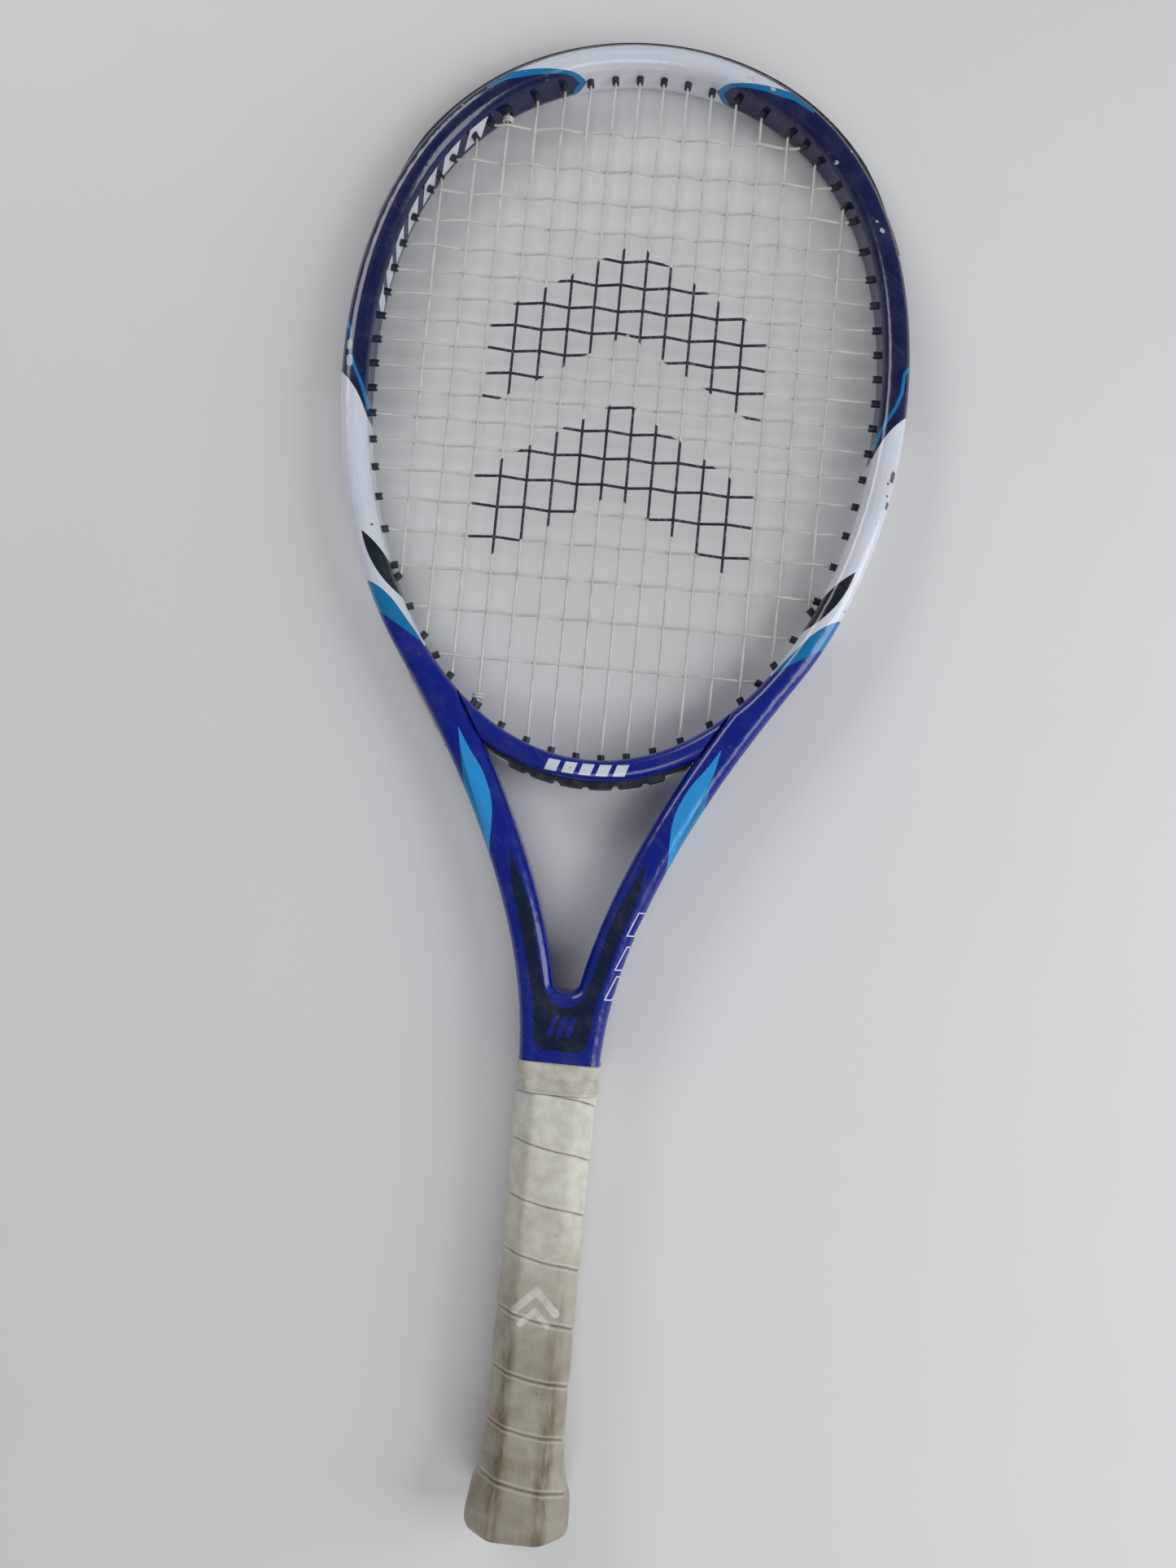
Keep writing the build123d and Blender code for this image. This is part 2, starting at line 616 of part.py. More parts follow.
def make_collar():
    """Stretched rubber ring over the tape, from the grip to the shaft."""
    fit = TAPE_THICKNESS + 2 * TAPE_FIT
    lip = (COLLAR_HIGH, *shaft_section[1:])
    inside = grown([at(tape_inside, COLLAR_LOW), shaft_section, lip], fit)
    return prism(grown(inside, COLLAR_WALL)) - prism(inside)


PIECES = {
    "frame_tube": make_frame,
    "throat_bridge": make_bridge,
    "bumper_guard": make_bumper,
    "grommet_strip_left": lambda: make_side_strip(-1),
    "grommet_strip_right": lambda: make_side_strip(1),
    "grommet_strip_throat": make_throat_strip,
    "main_string": lambda: string_along(main_points()),
    "cross_string": lambda: string_along(cross_points()),
    "mains_knot": lambda: make_knot(main_top[-6], Vector(0, 1)),
    "crosses_knot": lambda: make_knot(main_bottom[-5], Vector(0, -1)),
    "handle_pallet": make_pallet,
    "butt_cap": make_cap,
    "butt_cap_staples": make_cap_staples,
    "base_grip": make_grip,
    "grip_staple": make_tack,
    "finishing_tape": make_tape,
    "grip_collar": make_collar,
}

os.makedirs("parts", exist_ok=True)
for name, make in PIECES.items():
    export_step(make(), f"parts/{name}.step")
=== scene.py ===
"""Looks of a strung tennis racket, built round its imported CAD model.

All places are in the racket's own frame: the origin is the centre of the butt's end, +Y
points to the crown of the head and +Z is square to the strings. Meshes are in metres, and
the sizes in the classes below are in millimetres.
"""

import logging
import math
from dataclasses import dataclass
from enum import Enum
from typing import Callable, Optional, Sequence, Union

import bpy
import numpy as np
from mathutils import Matrix, Vector


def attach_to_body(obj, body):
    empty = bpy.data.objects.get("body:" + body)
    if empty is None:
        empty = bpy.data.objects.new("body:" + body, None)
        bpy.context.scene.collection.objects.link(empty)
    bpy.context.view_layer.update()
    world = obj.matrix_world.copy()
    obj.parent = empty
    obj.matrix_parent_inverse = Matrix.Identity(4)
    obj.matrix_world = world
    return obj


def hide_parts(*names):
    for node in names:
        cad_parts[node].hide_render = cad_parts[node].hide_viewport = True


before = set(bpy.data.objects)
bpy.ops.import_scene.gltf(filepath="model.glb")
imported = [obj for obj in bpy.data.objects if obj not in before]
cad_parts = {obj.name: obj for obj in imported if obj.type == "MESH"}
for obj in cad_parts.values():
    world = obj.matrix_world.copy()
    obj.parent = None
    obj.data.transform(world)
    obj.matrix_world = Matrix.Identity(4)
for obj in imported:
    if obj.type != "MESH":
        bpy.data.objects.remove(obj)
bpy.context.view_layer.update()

MM = 0.001
log = logging.getLogger("racket")

Number = Union["Field", float]
Pair = tuple[float, float]


# ---------------------------------------------------------------- colours

def srgb(red: int, green: int, blue: int) -> tuple[float, float, float, float]:
    """Turns a display colour into the linear one that shaders take.

    Args:
        red: 0 to 255.
        green: 0 to 255.
        blue: 0 to 255.

    Returns:
        Linear red, green, blue and an alpha of 1.
    """
    linear = [(c / 255 / 12.92) if c <= 10 else ((c / 255 + 0.055) / 1.055) ** 2.4
              for c in (red, green, blue)]
    return (linear[0], linear[1], linear[2], 1.0)


class Tone(Enum):
    """The paints, inks and materials of the racket, and the tones of its painted shade and highlights."""

    ROYAL = srgb(0, 26, 132)
    NAVY = srgb(6, 20, 70)
    CYAN = srgb(0, 116, 172)
    SKY = srgb(40, 148, 218)
    WHITE = srgb(214, 219, 228)
    LEAF = srgb(14, 28, 38)
    PANEL = srgb(4, 20, 52)
    CHIP = srgb(190, 194, 200)
    PUTTY = srgb(150, 154, 160)
    PLASTIC = srgb(24, 27, 44)
    PLASTIC_WORN = srgb(84, 88, 100)
    GUARD = srgb(20, 22, 30)
    GUT = srgb(226, 226, 222)
    GUT_STAINED = srgb(198, 196, 188)
    INK = srgb(22, 22, 44)
    WRAP = srgb(202, 199, 186)
    WRAP_PALE = srgb(219, 217, 206)
    WRAP_SOIL_AND_SHADE = srgb(112, 99, 76)
    DIRT_AND_SEAM_SHADOW = srgb(84, 76, 64)
    SPECK = srgb(52, 50, 46)
    COLLAR = srgb(206, 204, 194)
    TAPE = srgb(196, 194, 184)
    FOAM = srgb(70, 70, 72)
    CAP = srgb(168, 163, 148)
    STEEL = srgb(176, 176, 178)
    FLOOR = srgb(226, 226, 226)


# ---------------------------------------------------------------- node building

class Field:
    """A number that changes over a surface: one output of a node tree, with arithmetic."""

    def __init__(self, tree: bpy.types.NodeTree, socket: bpy.types.NodeSocket) -> None:
        """Keeps the tree and the output socket."""
        self.tree, self.socket = tree, socket

    def math(self, operation: str, *others: Number) -> "Field":
        """Applies a Math node.

        Args:
            operation: the node's operation.
            others: its second and third inputs.

        Returns:
            The result.
        """
        node = self.tree.nodes.new("ShaderNodeMath")
        node.operation = operation
        for plug, value in zip(node.inputs, (self, *others)):
            attach(self.tree, value, plug)
        return Field(self.tree, node.outputs[0])

    def __add__(self, other: Number) -> "Field":
        """Sum."""
        return self.math("ADD", other)

    def __sub__(self, other: Number) -> "Field":
        """Difference."""
        return self.math("SUBTRACT", other)

    def __mul__(self, other: Number) -> "Field":
        """Product."""
        return self.math("MULTIPLY", other)

    def __truediv__(self, other: Number) -> "Field":
        """Quotient."""
        return self.math("DIVIDE", other)

    def __neg__(self) -> "Field":
        """Negative."""
        return self.math("MULTIPLY", -1.0)

    def __rsub__(self, other: float) -> "Field":
        """A number less this field."""
        return self.math("MULTIPLY_ADD", -1.0, other)

    def __or__(self, other: Number) -> "Field":
        """The greater: inside either of two regions."""
        return self.math("MAXIMUM", other)

    def __and__(self, other: Number) -> "Field":
        """The lesser: inside both of two regions."""
        return self.math("MINIMUM", other)

    def cover(self, blur: float = 0.12) -> "Field":
        """Turns a signed distance, positive inside, into a mask.

        Args:
            blur: width of the mask's soft edge.

        Returns:
            0 outside to 1 inside.
        """
        found = self.math("MULTIPLY_ADD", 1 / blur, 0.5)
        found.socket.node.use_clamp = True
        return found

    def rise(self, low: float, high: float) -> "Field":
        """A smooth step from 0 at low to 1 at high.

        Args:
            low: where it starts.
            high: where it ends.

        Returns:
            The step, 0 to 1.
        """
        node = self.tree.nodes.new("ShaderNodeMapRange")
        node.interpolation_type = "SMOOTHSTEP"
        attach(self.tree, self, node.inputs["Value"])
        node.inputs["From Min"].default_value = low
        node.inputs["From Max"].default_value = high
        return Field(self.tree, node.outputs["Result"])


def attach(tree: bpy.types.NodeTree, value: object, plug: bpy.types.NodeSocket) -> None:
    """Links a field or an output to an input, or sets the input's own value.

    Args:
        tree: the tree of both.
        value: a Field, a socket, an Enum member, a number or a sequence.
        plug: the input.
    """
    if isinstance(value, Field):
        tree.links.new(value.socket, plug)
    elif isinstance(value, bpy.types.NodeSocket):
        tree.links.new(value, plug)
    else:
        plug.default_value = value.value if isinstance(value, Enum) else value


class Graph:
    """A node tree with short calls for the nodes that this racket's finishes use."""

    def __init__(self, tree: bpy.types.NodeTree) -> None:
        """Keeps the tree."""
        self.tree = tree

    def node(self, kind: str, **inputs: object) -> bpy.types.Node:
        """Adds a node and sets or links its inputs, with underscores for spaces in names.

        Args:
            kind: the node's type, after ShaderNode.
            inputs: values or outputs, by the input's name.

        Returns:
            The node.
        """
        made = self.tree.nodes.new("ShaderNode" + kind)
        for name, value in inputs.items():
            attach(self.tree, value, made.inputs[name.replace("_", " ")])
        return made

    def field(self, socket: bpy.types.NodeSocket) -> Field:
        """Wraps an output as a field."""
        return Field(self.tree, socket)

    def place(self) -> bpy.types.NodeSocket:
        """Position in the racket's frame, in millimetres.

        Returns:
            The position.
        """
        node = self.node("VectorMath")
        node.operation = "SCALE"
        self.tree.links.new(self.node("TexCoord").outputs["Object"], node.inputs[0])
        node.inputs["Scale"].default_value = 1 / MM
        return node.outputs[0]

    def split(self, vector: bpy.types.NodeSocket) -> tuple[Field, Field, Field]:
        """The three numbers of a vector."""
        node = self.node("SeparateXYZ", Vector=vector)
        return self.field(node.outputs[0]), self.field(node.outputs[1]), self.field(node.outputs[2])

    def join(self, x: Number, y: Number, z: Number) -> bpy.types.NodeSocket:
        """A vector from three numbers."""
        return self.node("CombineXYZ", X=x, Y=y, Z=z).outputs[0]

    def noise(self, vector: bpy.types.NodeSocket, grain: float, detail: float = 3.0,
              seed: float = 0.0) -> Field:
        """Smooth random numbers about 0.5.

        Args:
            vector: position in millimetres.
            grain: size of its blotches in millimetres.
            detail: octaves.
            seed: another number gives another pattern.

        Returns:
            The numbers.
        """
        node = self.tree.nodes.new("ShaderNodeTexNoise")
        node.noise_dimensions = "4D"
        attach(self.tree, vector, node.inputs["Vector"])
        node.inputs["W"].default_value = seed
        node.inputs["Scale"].default_value = 1 / grain
        node.inputs["Detail"].default_value = detail
        return self.field(node.outputs[0])

    def cells(self, vector: bpy.types.NodeSocket, grain: float) -> Field:
        """Distance to the nearest of scattered points, in cells of a size in millimetres."""
        return self.field(self.node("TexVoronoi", Vector=vector, Scale=1 / grain).outputs["Distance"])

    def profile(self, height: Field, points: Sequence[Pair]) -> Field:
        """A smooth curve through given points.

        Args:
            height: where it is read.
            points: (height, value) from low to high.

        Returns:
            The curve's value, level beyond its ends.
        """
        low, high = points[0][0], points[-1][0]
        least, most = min(v for _, v in points), max(v for _, v in points)
        node = self.tree.nodes.new("ShaderNodeFloatCurve")
        curve = node.mapping.curves[0]
        for index, (where, value) in enumerate(points):
            spot = Vector(((where - low) / (high - low), (value - least) / (most - least)))
            if index in (0, len(points) - 1):
                curve.points[0 if index == 0 else -1].location = spot
            else:
                curve.points.new(*spot)
        node.mapping.update()
        share = (height - low) / (high - low)
        share.socket.node.use_clamp = True
        attach(self.tree, share, node.inputs["Value"])
        return self.field(node.outputs[0]) * (most - least) + least

    def mix(self, mask: Number, under: object, over: object) -> bpy.types.NodeSocket:
        """Lays a colour over another.

        Args:
            mask: how much of the upper one shows.
            under: Tone or colour output.
            over: Tone or colour output.

        Returns:
            The mixed colour.
        """
        node = self.tree.nodes.new("ShaderNodeMix")
        node.data_type = "RGBA"
        for index, value in ((0, mask), (6, under), (7, over)):
            attach(self.tree, value, node.inputs[index])
        return node.outputs[2]

    def effect(self, group: bpy.types.NodeTree, **inputs: object) -> bpy.types.Node:
        """Places one of the shared effects with its own values.

        Args:
            group: the effect.
            inputs: its values, by name.

        Returns:
            The group's node.
        """
        made = self.tree.nodes.new("ShaderNodeGroup")
        made.node_tree = group
        for name, value in inputs.items():
            attach(self.tree, value, made.inputs[name.replace("_", " ")])
        return made

    def bump(self, height: Field, depth: float,
             over: Optional[bpy.types.NodeSocket] = None) -> bpy.types.NodeSocket:
        """A normal from a height field.

        Args:
            height: 0 to 1.
            depth: in millimetres.
            over: a normal to build on.

        Returns:
            The normal.
        """
        node = self.node("Bump", Height=height, Distance=depth * MM, Strength=1.0)
        if over is not None:
            attach(self.tree, over, node.inputs["Normal"])
        return node.outputs[0]


class Surface(Graph):
    """The node tree of one material, with its Principled shader."""

    def __init__(self, name: str) -> None:
        """Makes an empty material.

        Args:
            name: the finish's name.
        """
        self.material = bpy.data.materials.new(name)
        self.material.use_nodes = True
        super().__init__(self.material.node_tree)
        self.shader = next(n for n in self.tree.nodes if n.type == "BSDF_PRINCIPLED")

    def shade(self, **inputs: object) -> bpy.types.Material:
        """Sets or links the shader's inputs and gives the material."""
        for name, value in inputs.items():
            attach(self.tree, value, self.shader.inputs[name.replace("_", " ")])
        return self.material


# ---------------------------------------------------------------- shared effects

class Effects:
    """Shader node groups that several finishes share. Each is built once."""

    def __init__(self) -> None:
        """Builds every group."""
        self.grain = self._group("FineGrain", {"Grain": 0.5, "Seed": 0.0}, ("Height",), self._build_grain)
        self.grime = self._group("Grime", {"Grain": 8.0, "Cover": 0.4, "Seed": 0.0}, ("Mask",),
                                 self._build_grime)
        self.chips = self._group("Chips", {"Grain": 6.0, "Size": 0.2, "Share": 0.4}, ("Mask",),
                                 self._build_chips)
        self.scratches = self._group("Scratches", {"Grain": 1.0, "Cover": 0.3, "Turn": 0.5}, ("Mask",),
                                     self._build_scratches)
        self.stroke = self._group("Stroke", {"Across": 0.0, "Height": 0.0, "Start Across": 0.0,
                                             "Start Height": 0.0, "End Across": 1.0, "End Height": 1.0},
                                  ("Distance", "Share"),
                                  self._build_stroke, placed=False)

    def _group(self, name: str, numbers: dict[str, float], results: Sequence[str],
               build: Callable[[Graph, dict[str, bpy.types.NodeSocket]], Sequence[Field]],
               placed: bool = True) -> bpy.types.NodeTree:
        """Makes one group with its sockets.

        Args:
            name: the group's name.
            numbers: its number inputs and their usual values.
            results: names of its outputs.
            build: makes the nodes inside.
            placed: whether it takes a position too.

        Returns:
            The group.
        """
        tree = bpy.data.node_groups.new(name, "ShaderNodeTree")
        if placed:
            tree.interface.new_socket("Place", in_out="INPUT", socket_type="NodeSocketVector")
        for label, value in numbers.items():
            made = tree.interface.new_socket(label, in_out="INPUT", socket_type="NodeSocketFloat")
            made.default_value = value
        for label in results:
            tree.interface.new_socket(label, in_out="OUTPUT", socket_type="NodeSocketFloat")
        entry, leave = tree.nodes.new("NodeGroupInput"), tree.nodes.new("NodeGroupOutput")
        for label, found in zip(results, build(Graph(tree), entry.outputs)):
            tree.links.new(found.socket, leave.inputs[label])
        return tree

    @staticmethod
    def _scaled(graph: Graph, plugs: dict[str, bpy.types.NodeSocket]) -> bpy.types.NodeSocket:
        """Position divided by the grain.

        Args:
            graph: the group's tree.
            plugs: the group's inputs.

        Returns:
            The scaled position.
        """
        node = graph.node("VectorMath")
        node.operation = "SCALE"
        graph.tree.links.new(plugs["Place"], node.inputs[0])
        graph.tree.links.new((graph.field(plugs["Grain"]).math("POWER", -1.0)).socket, node.inputs["Scale"])
        return node.outputs[0]

    def _build_grain(self, graph: Graph, plugs: dict[str, bpy.types.NodeSocket]) -> list[Field]:
        """Fine uneven surface: noise with small pits.

        Args:
            graph: the group's tree.
            plugs: the group's inputs.

        Returns:
            The height.
        """
        at = self._scaled(graph, plugs)
        first = graph.noise(at, 1.0, 4.0)
        attach(graph.tree, plugs["Seed"], first.socket.node.inputs["W"])
        pits = graph.cells(at, 1.4).rise(0.0, 0.35)
        return [first * 0.7 + pits * 0.3]

    def _build_grime(self, graph: Graph, plugs: dict[str, bpy.types.NodeSocket]) -> list[Field]:
        """Blotchy dirt of two sizes.

        Args:
            graph: the group's tree.
            plugs: the group's inputs.

        Returns:
            The mask.
        """
        at = self._scaled(graph, plugs)
        wide, fine = graph.noise(at, 1.0, 5.0), graph.noise(at, 0.17, 3.0)
        for part in (wide, fine):
            attach(graph.tree, plugs["Seed"], part.socket.node.inputs["W"])
        level = (wide * 0.75 + fine * 0.25) + graph.field(plugs["Cover"]) * 0.5
        return [level.rise(0.55, 0.85)]

    def _build_chips(self, graph: Graph, plugs: dict[str, bpy.types.NodeSocket]) -> list[Field]:
        """Scattered small chips with ragged outlines.

        Args:
            graph: the group's tree.
            plugs: the group's inputs.

        Returns:
            The mask.
        """
        at = self._scaled(graph, plugs)
        ragged = graph.noise(at, 0.12, 3.0) * 0.16
        spots = (graph.field(plugs["Size"]) - graph.cells(at, 1.0) - ragged + 0.08).cover(0.03)
        chosen = (graph.noise(at, 1.7, 1.0, seed=3.0) + graph.field(plugs["Share"]) - 1.0).cover(0.02)
        return [spots * chosen]

    def _build_scratches(self, graph: Graph, plugs: dict[str, bpy.types.NodeSocket]) -> list[Field]:
        """Thin rubbed lines that run mostly one way.

        Args:
            graph: the group's tree.
            plugs: the group's inputs.

        Returns:
            The mask.
        """
        at = self._scaled(graph, plugs)
        turned = graph.node("VectorRotate", Vector=at)
        turned.rotation_type = "Z_AXIS"
        attach(graph.tree, plugs["Turn"], turned.inputs["Angle"])
        x, y, z = graph.split(turned.outputs[0])
        lines = graph.noise(graph.join(x * 0.06, y * 2.5, z), 1.0, 3.0)
        patches = graph.noise(at, 7.0, 2.0, seed=5.0)
        level = lines + (patches - 0.5) * 0.5 + graph.field(plugs["Cover"]) * 0.4
        return [level.rise(0.68, 0.8)]

    @staticmethod
    def _build_stroke(graph: Graph, plugs: dict[str, bpy.types.NodeSocket]) -> list[Field]:
        """Distance to a straight stroke in the racket's plane, and the share along it.

        Args:
            graph: the group's tree.
            plugs: the group's inputs.

        Returns:
            The distance and the share.
        """
        across, height = graph.field(plugs["Across"]), graph.field(plugs["Height"])
        start = graph.field(plugs["Start Across"]), graph.field(plugs["Start Height"])
        run = (graph.field(plugs["End Across"]) - start[0], graph.field(plugs["End Height"]) - start[1])
        off = (across - start[0], height - start[1])
        share = (off[0] * run[0] + off[1] * run[1]) / (run[0] * run[0] + run[1] * run[1])
        share.socket.node.use_clamp = True
        gap = (off[0] - run[0] * share, off[1] - run[1] * share)
        return [(gap[0] * gap[0] + gap[1] * gap[1]).math("SQRT"), share]


EFFECTS = Effects()


class Sketch:
    """Draws paint outlines in the racket's plane as signed distances, positive inside."""

    def __init__(self, graph: Graph, across: Field, height: Field) -> None:
        """Keeps the graph and the two coordinates.

        Args:
            graph: where the nodes go.
            across: distance across, in millimetres.
            height: distance from the butt, in millimetres.
        """
        self.graph, self.across, self.height = graph, across, height

    def _stroke(self, start: Pair, end: Pair) -> bpy.types.Node:
        """Places the stroke effect between two points.

        Args:
            start: one point.
            end: the other point.

        Returns:
            The group's node.
        """
        return self.graph.effect(EFFECTS.stroke, Across=self.across, Height=self.height,
                                 Start_Across=start[0], Start_Height=start[1],
                                 End_Across=end[0], End_Height=end[1])

    def line(self, points: Sequence[Pair], width: float) -> Field:
        """A line of some width through points.

        Args:
            points: (across, height) of its points.
            width: its width.

        Returns:
            Signed distance, above 0 inside.
        """
        found: Optional[Field] = None
        for start, end in zip(points, points[1:]):
            node = self._stroke(start, end)
            near = self.graph.field(node.outputs["Distance"])
            found = near if found is None else found & near
        return width / 2 - found

    def slash(self, middle: Pair, width: float, tall: float, lean: float) -> Field:
        """A leaning bar with level ends.

        Args:
            middle: its centre.
            width: across.
            tall: from end to end.
            lean: how far it leans across per unit of height.

        Returns:
            Signed distance.
        """
        off = self.height - middle[1]
        side = (self.across - middle[0] - off * lean).math("ABSOLUTE")
        return (width / 2 - side) & (tall / 2 - off.math("ABSOLUTE"))

    def between(self, inner: Sequence[Pair], outer: Sequence[Pair]) -> Field:
        """The region between two edges, each a curve of (height, distance across)."""
        return (self.graph.profile(self.height, outer) - self.across) \
            & (self.across - self.graph.profile(self.height, inner))

    def level(self, low: float, high: float) -> Field:
        """The region between two heights."""
        return (self.height - low) & (high - self.height)

    def leaf(self, start: Pair, end: Pair, width: float) -> Field:
        """A shape pointed at both ends.

        Args:
            start: one point.
            end: the other point.
            width: across its middle.

        Returns:
            Signed distance.
        """
        node = self._stroke(start, end)
        share = self.graph.field(node.outputs["Share"])
        return share * (1.0 - share) * (2 * width) - self.graph.field(node.outputs["Distance"])


# ---------------------------------------------------------------- finishes

@dataclass(frozen=True)
class FrameLacquer:
    """Gloss lacquer over the frame's coloured bands, with its marks and its wear."""

    crown_middle: float = 553.2     # centre and radius of the crown's inner wall
    crown_radius: float = 119.1
    stripe: float = 3.0             # cyan border of the crown's white band
    crown_half: float = 78.0        # how far the white band reaches to each side
    crown_low: float = 600.0        # nothing of the crown's paint lies lower
    tail_half: float = 79.5         # where the head's white ends at the inner wall
    head_middle: float = 505.0
    outline: float = 0.55           # thin outlined marks
    lip_depth: float = 8.8         # the guard's rubbed edge, from the inner wall
    lip_low: float = 618.0

    def _crown(self, half: Field, y: Field, z: Field) -> tuple[Field, Field]:
        """Signed distance of the white band at the crown, and the depth outward from the inner wall.

        Args:
            half: distance from the middle line.
            y: place along.
            z: place towards the front.

        Returns:
            The band's distance, and the depth.
        """
        off = y - self.crown_middle
        depth = (half * half + off * off).math("SQRT") - self.crown_radius
        middle = (depth * 3.3 + z.math("ABSOLUTE") * 0.55 + 31.3 - half) * 0.29
        edge = depth - 7.2 - ((half - 52.0) | 0.0) * 0.12
        return (middle | edge) & (self.crown_half - half) & (y - self.crown_low), depth

    def _bands(self, surface: Surface, half: Field, y: Field, z: Field) -> bpy.types.NodeSocket:
        """The main colours, from the throat up.

        Args:
            surface: the material.
            half: distance from the middle line.
            y: place along.
            z: place towards the front.

        Returns:
            The colour.
        """
        sketch = Sketch(surface, half, y)
        navy_low = surface.profile(half, [(112, 474), (117.2, 486.4), (122.5, 497.8), (130.3, 507.2),
                                          (136, 512)])
        white_low = surface.profile(half, [(70, 364), (79.8, 382.9), (88.7, 394), (98.5, 404.6),
                                           (108.4, 410.5), (116, 413)])
        cyan_low = surface.profile(half, [(66, 375.3), (78.8, 382.9), (99.5, 395.2), (116, 405)])
        cyan = (y - cyan_low) & (white_low - y)
        white = (y - white_low) & (navy_low - y) & (half - self.tail_half)
        crown, depth = self._crown(half, y, z)
        stripe = (crown + ((depth * 0.5 + 0.9) & self.stripe)) & -crown
        stripe = stripe & (self.crown_half - half) & (y - self.crown_low)
        line = sketch.line([(132.6, 533.5), (129.6, 529.0), (128.9, 519.5), (126.6, 512.6), (121.6, 503.0),
                            (117.6, 492.0)], 1.5)
        tip = sketch.between([(288, 39.9), (296.5, 40.3), (303, 40.3), (312, 40.9), (323.7, 44.8),
                              (339, 55.0), (346.3, 59.6)],
                             [(288, 49), (300, 52), (318, 54.3), (329.4, 56.4), (346.3, 59.8)])
        tip = tip & sketch.level(288.0, 346.3)
        shade = sketch.between([(283, 38), (300, 43.4), (318, 50.6), (335, 57), (346.3, 60.4)],
                               [(283, 60), (347, 60.5)])
        panel = sketch.between([(206.4, -4), (223.5, -3.0), (226.2, 3.0), (229.5, 7.2), (238, 10.7),
                                (250, 14.0), (261, 16.6), (272, 20.6), (282, 25.2), (292.6, 30.4)],
                               [(206.4, 6.0), (207.6, 9.6), (210.5, 11.8), (215, 12.7), (222, 13.3),
                                (236, 16.3), (254, 21.2), (268, 25.6), (280, 29.0), (292.6, 30.6)])
        panel = panel & sketch.level(206.4, 292.6)
        colour = surface.mix(cyan.cover(), Tone.ROYAL, Tone.CYAN)
        colour = surface.mix((y - navy_low).cover(), colour, Tone.NAVY)
        colour = surface.mix(white.cover(), colour, Tone.WHITE)
        colour = surface.mix((line | stripe).cover(), colour, Tone.CYAN)
        colour = surface.mix(crown.cover(), colour, Tone.WHITE)
        colour = surface.mix(sketch.leaf((113.9, 433.5), (92.6, 404.6), 6.8).cover(), colour, Tone.LEAF)
        colour = surface.mix(tip.cover(), colour, Tone.SKY)
        colour = surface.mix((tip & shade).cover(), colour, Tone.CYAN)
        colour = surface.mix(panel.cover(), colour, Tone.PANEL)
        lip = (depth - self.lip_depth) & (y - self.lip_low)
        return surface.mix(lip.cover(0.3), colour, Tone.GUARD)

    def _marks(self, surface: Surface, x: Field, y: Field, z: Field) -> tuple[Field, Field]:
        """Plain slashes in the places of the printed marks.

        Args:
            surface: the material.
            x: place across.
            y: place along.
            z: place towards the front.

        Returns:
            Masks of the white marks and of the blue one.
        """
        sketch = Sketch(surface, x, y)
        curved = Sketch(surface, x, y - x * x * 0.0032)
        white = curved.slash((-15.6, 332.4), 5.4, 5.2, 0.35)
        for across in (-7.8, 0.0, 7.8, 15.6):
            white = white | curved.slash((across, 332.4), 5.4, 5.2, 0.35)
        for middle in ((28.9, 265.0), (25.0, 249.5), (21.6, 236.0)):
            ring = sketch.slash(middle, 3.4, 10.5, 0.42).math("ABSOLUTE")
            white = white | (self.outline / 2 - ring)
        offset = surface.join(-x, self.head_middle - y, 0.0)
        inward = surface.node("VectorMath", Vector=offset)
        inward.operation = "NORMALIZE"
        facing = surface.node("VectorMath")
        facing.operation = "DOT_PRODUCT"
        attach(surface.tree, inward.outputs[0], facing.inputs[0])
        attach(surface.tree, surface.node("NewGeometry").outputs["Normal"], facing.inputs[1])
        wall = surface.field(facing.outputs["Value"]) - 0.9
        turn = (y - self.head_middle).math("ARCTAN2", -x) * (180 / math.pi)
        beat = ((turn - 17.0) / 6.3 - z * 0.03).math("FRACT")
        bars = (0.32 - (beat - 0.5).math("ABSOLUTE")) * 12.0
        inside = bars & (5.2 - z.math("ABSOLUTE")) & ((turn - 17.0) * 2.0)
        inside = inside & ((61.0 - turn) * 2.0) & (wall * 40.0)
        blue = sketch.slash((-4.0, 217.4), 2.5, 9.0, 0.3)
        for across in (0.0, 4.0):
            blue = blue | sketch.slash((across, 217.4), 2.5, 9.0, 0.3)
        return (white | inside).cover(0.15), blue.cover(0.15)

    def _worn(self, surface: Surface, place: bpy.types.NodeSocket, x: Field, half: Field,
              y: Field) -> tuple[Field, Field]:
        """Masks of the pale chips and of the dark ones.

        Args:
            surface: the material.
            place: position.
            x: its part across.
            half: distance from the middle line.
            y: its part along.

        Returns:
            The pale mask and the dark one.
        """
        ragged = (surface.noise(place, 1.1, 3.0) - 0.5) * 1.5
        sketch = Sketch(surface, x + ragged, y - ragged)
        pale: Optional[Field] = None
        for at, size in (((45.3, 668.4), 1.2), ((47.4, 668.0), 1.5), ((57.6, 663.7), 2.0),
                         ((90.5, 630.5), 1.3), ((113.9, 597.6), 1.8), ((111.2, 601.8), 0.9)):
            spot = sketch.line([at, (at[0] + 0.5, at[1] - 0.4)], size)
            pale = spot if pale is None else pale | spot
        ovals = Sketch(surface, x + ragged * 0.3, y).line([(-129.3, 522.9), (-129.1, 520.2)], 2.6) \
            | Sketch(surface, x + ragged * 0.3, y).line([(-128.6, 515.2), (-128.2, 512.4)], 3.0)
        dark = sketch.line([(128.0, 481.4), (127.3, 478.0)], 2.0) \
            | sketch.line([(126.3, 467.4), (125.8, 465.2)], 1.4) \
            | sketch.line([(125.6, 470.8), (125.7, 470.4)], 0.8)
        off = y - self.head_middle - 20.0
        rim = (half * half * 1.32 + off * off).math("SQRT").rise(147.0, 152.0)
        chips = surface.effect(EFFECTS.chips, Place=place, Grain=7.0, Size=0.10, Share=0.5).outputs["Mask"]
        scattered = surface.field(chips) * rim
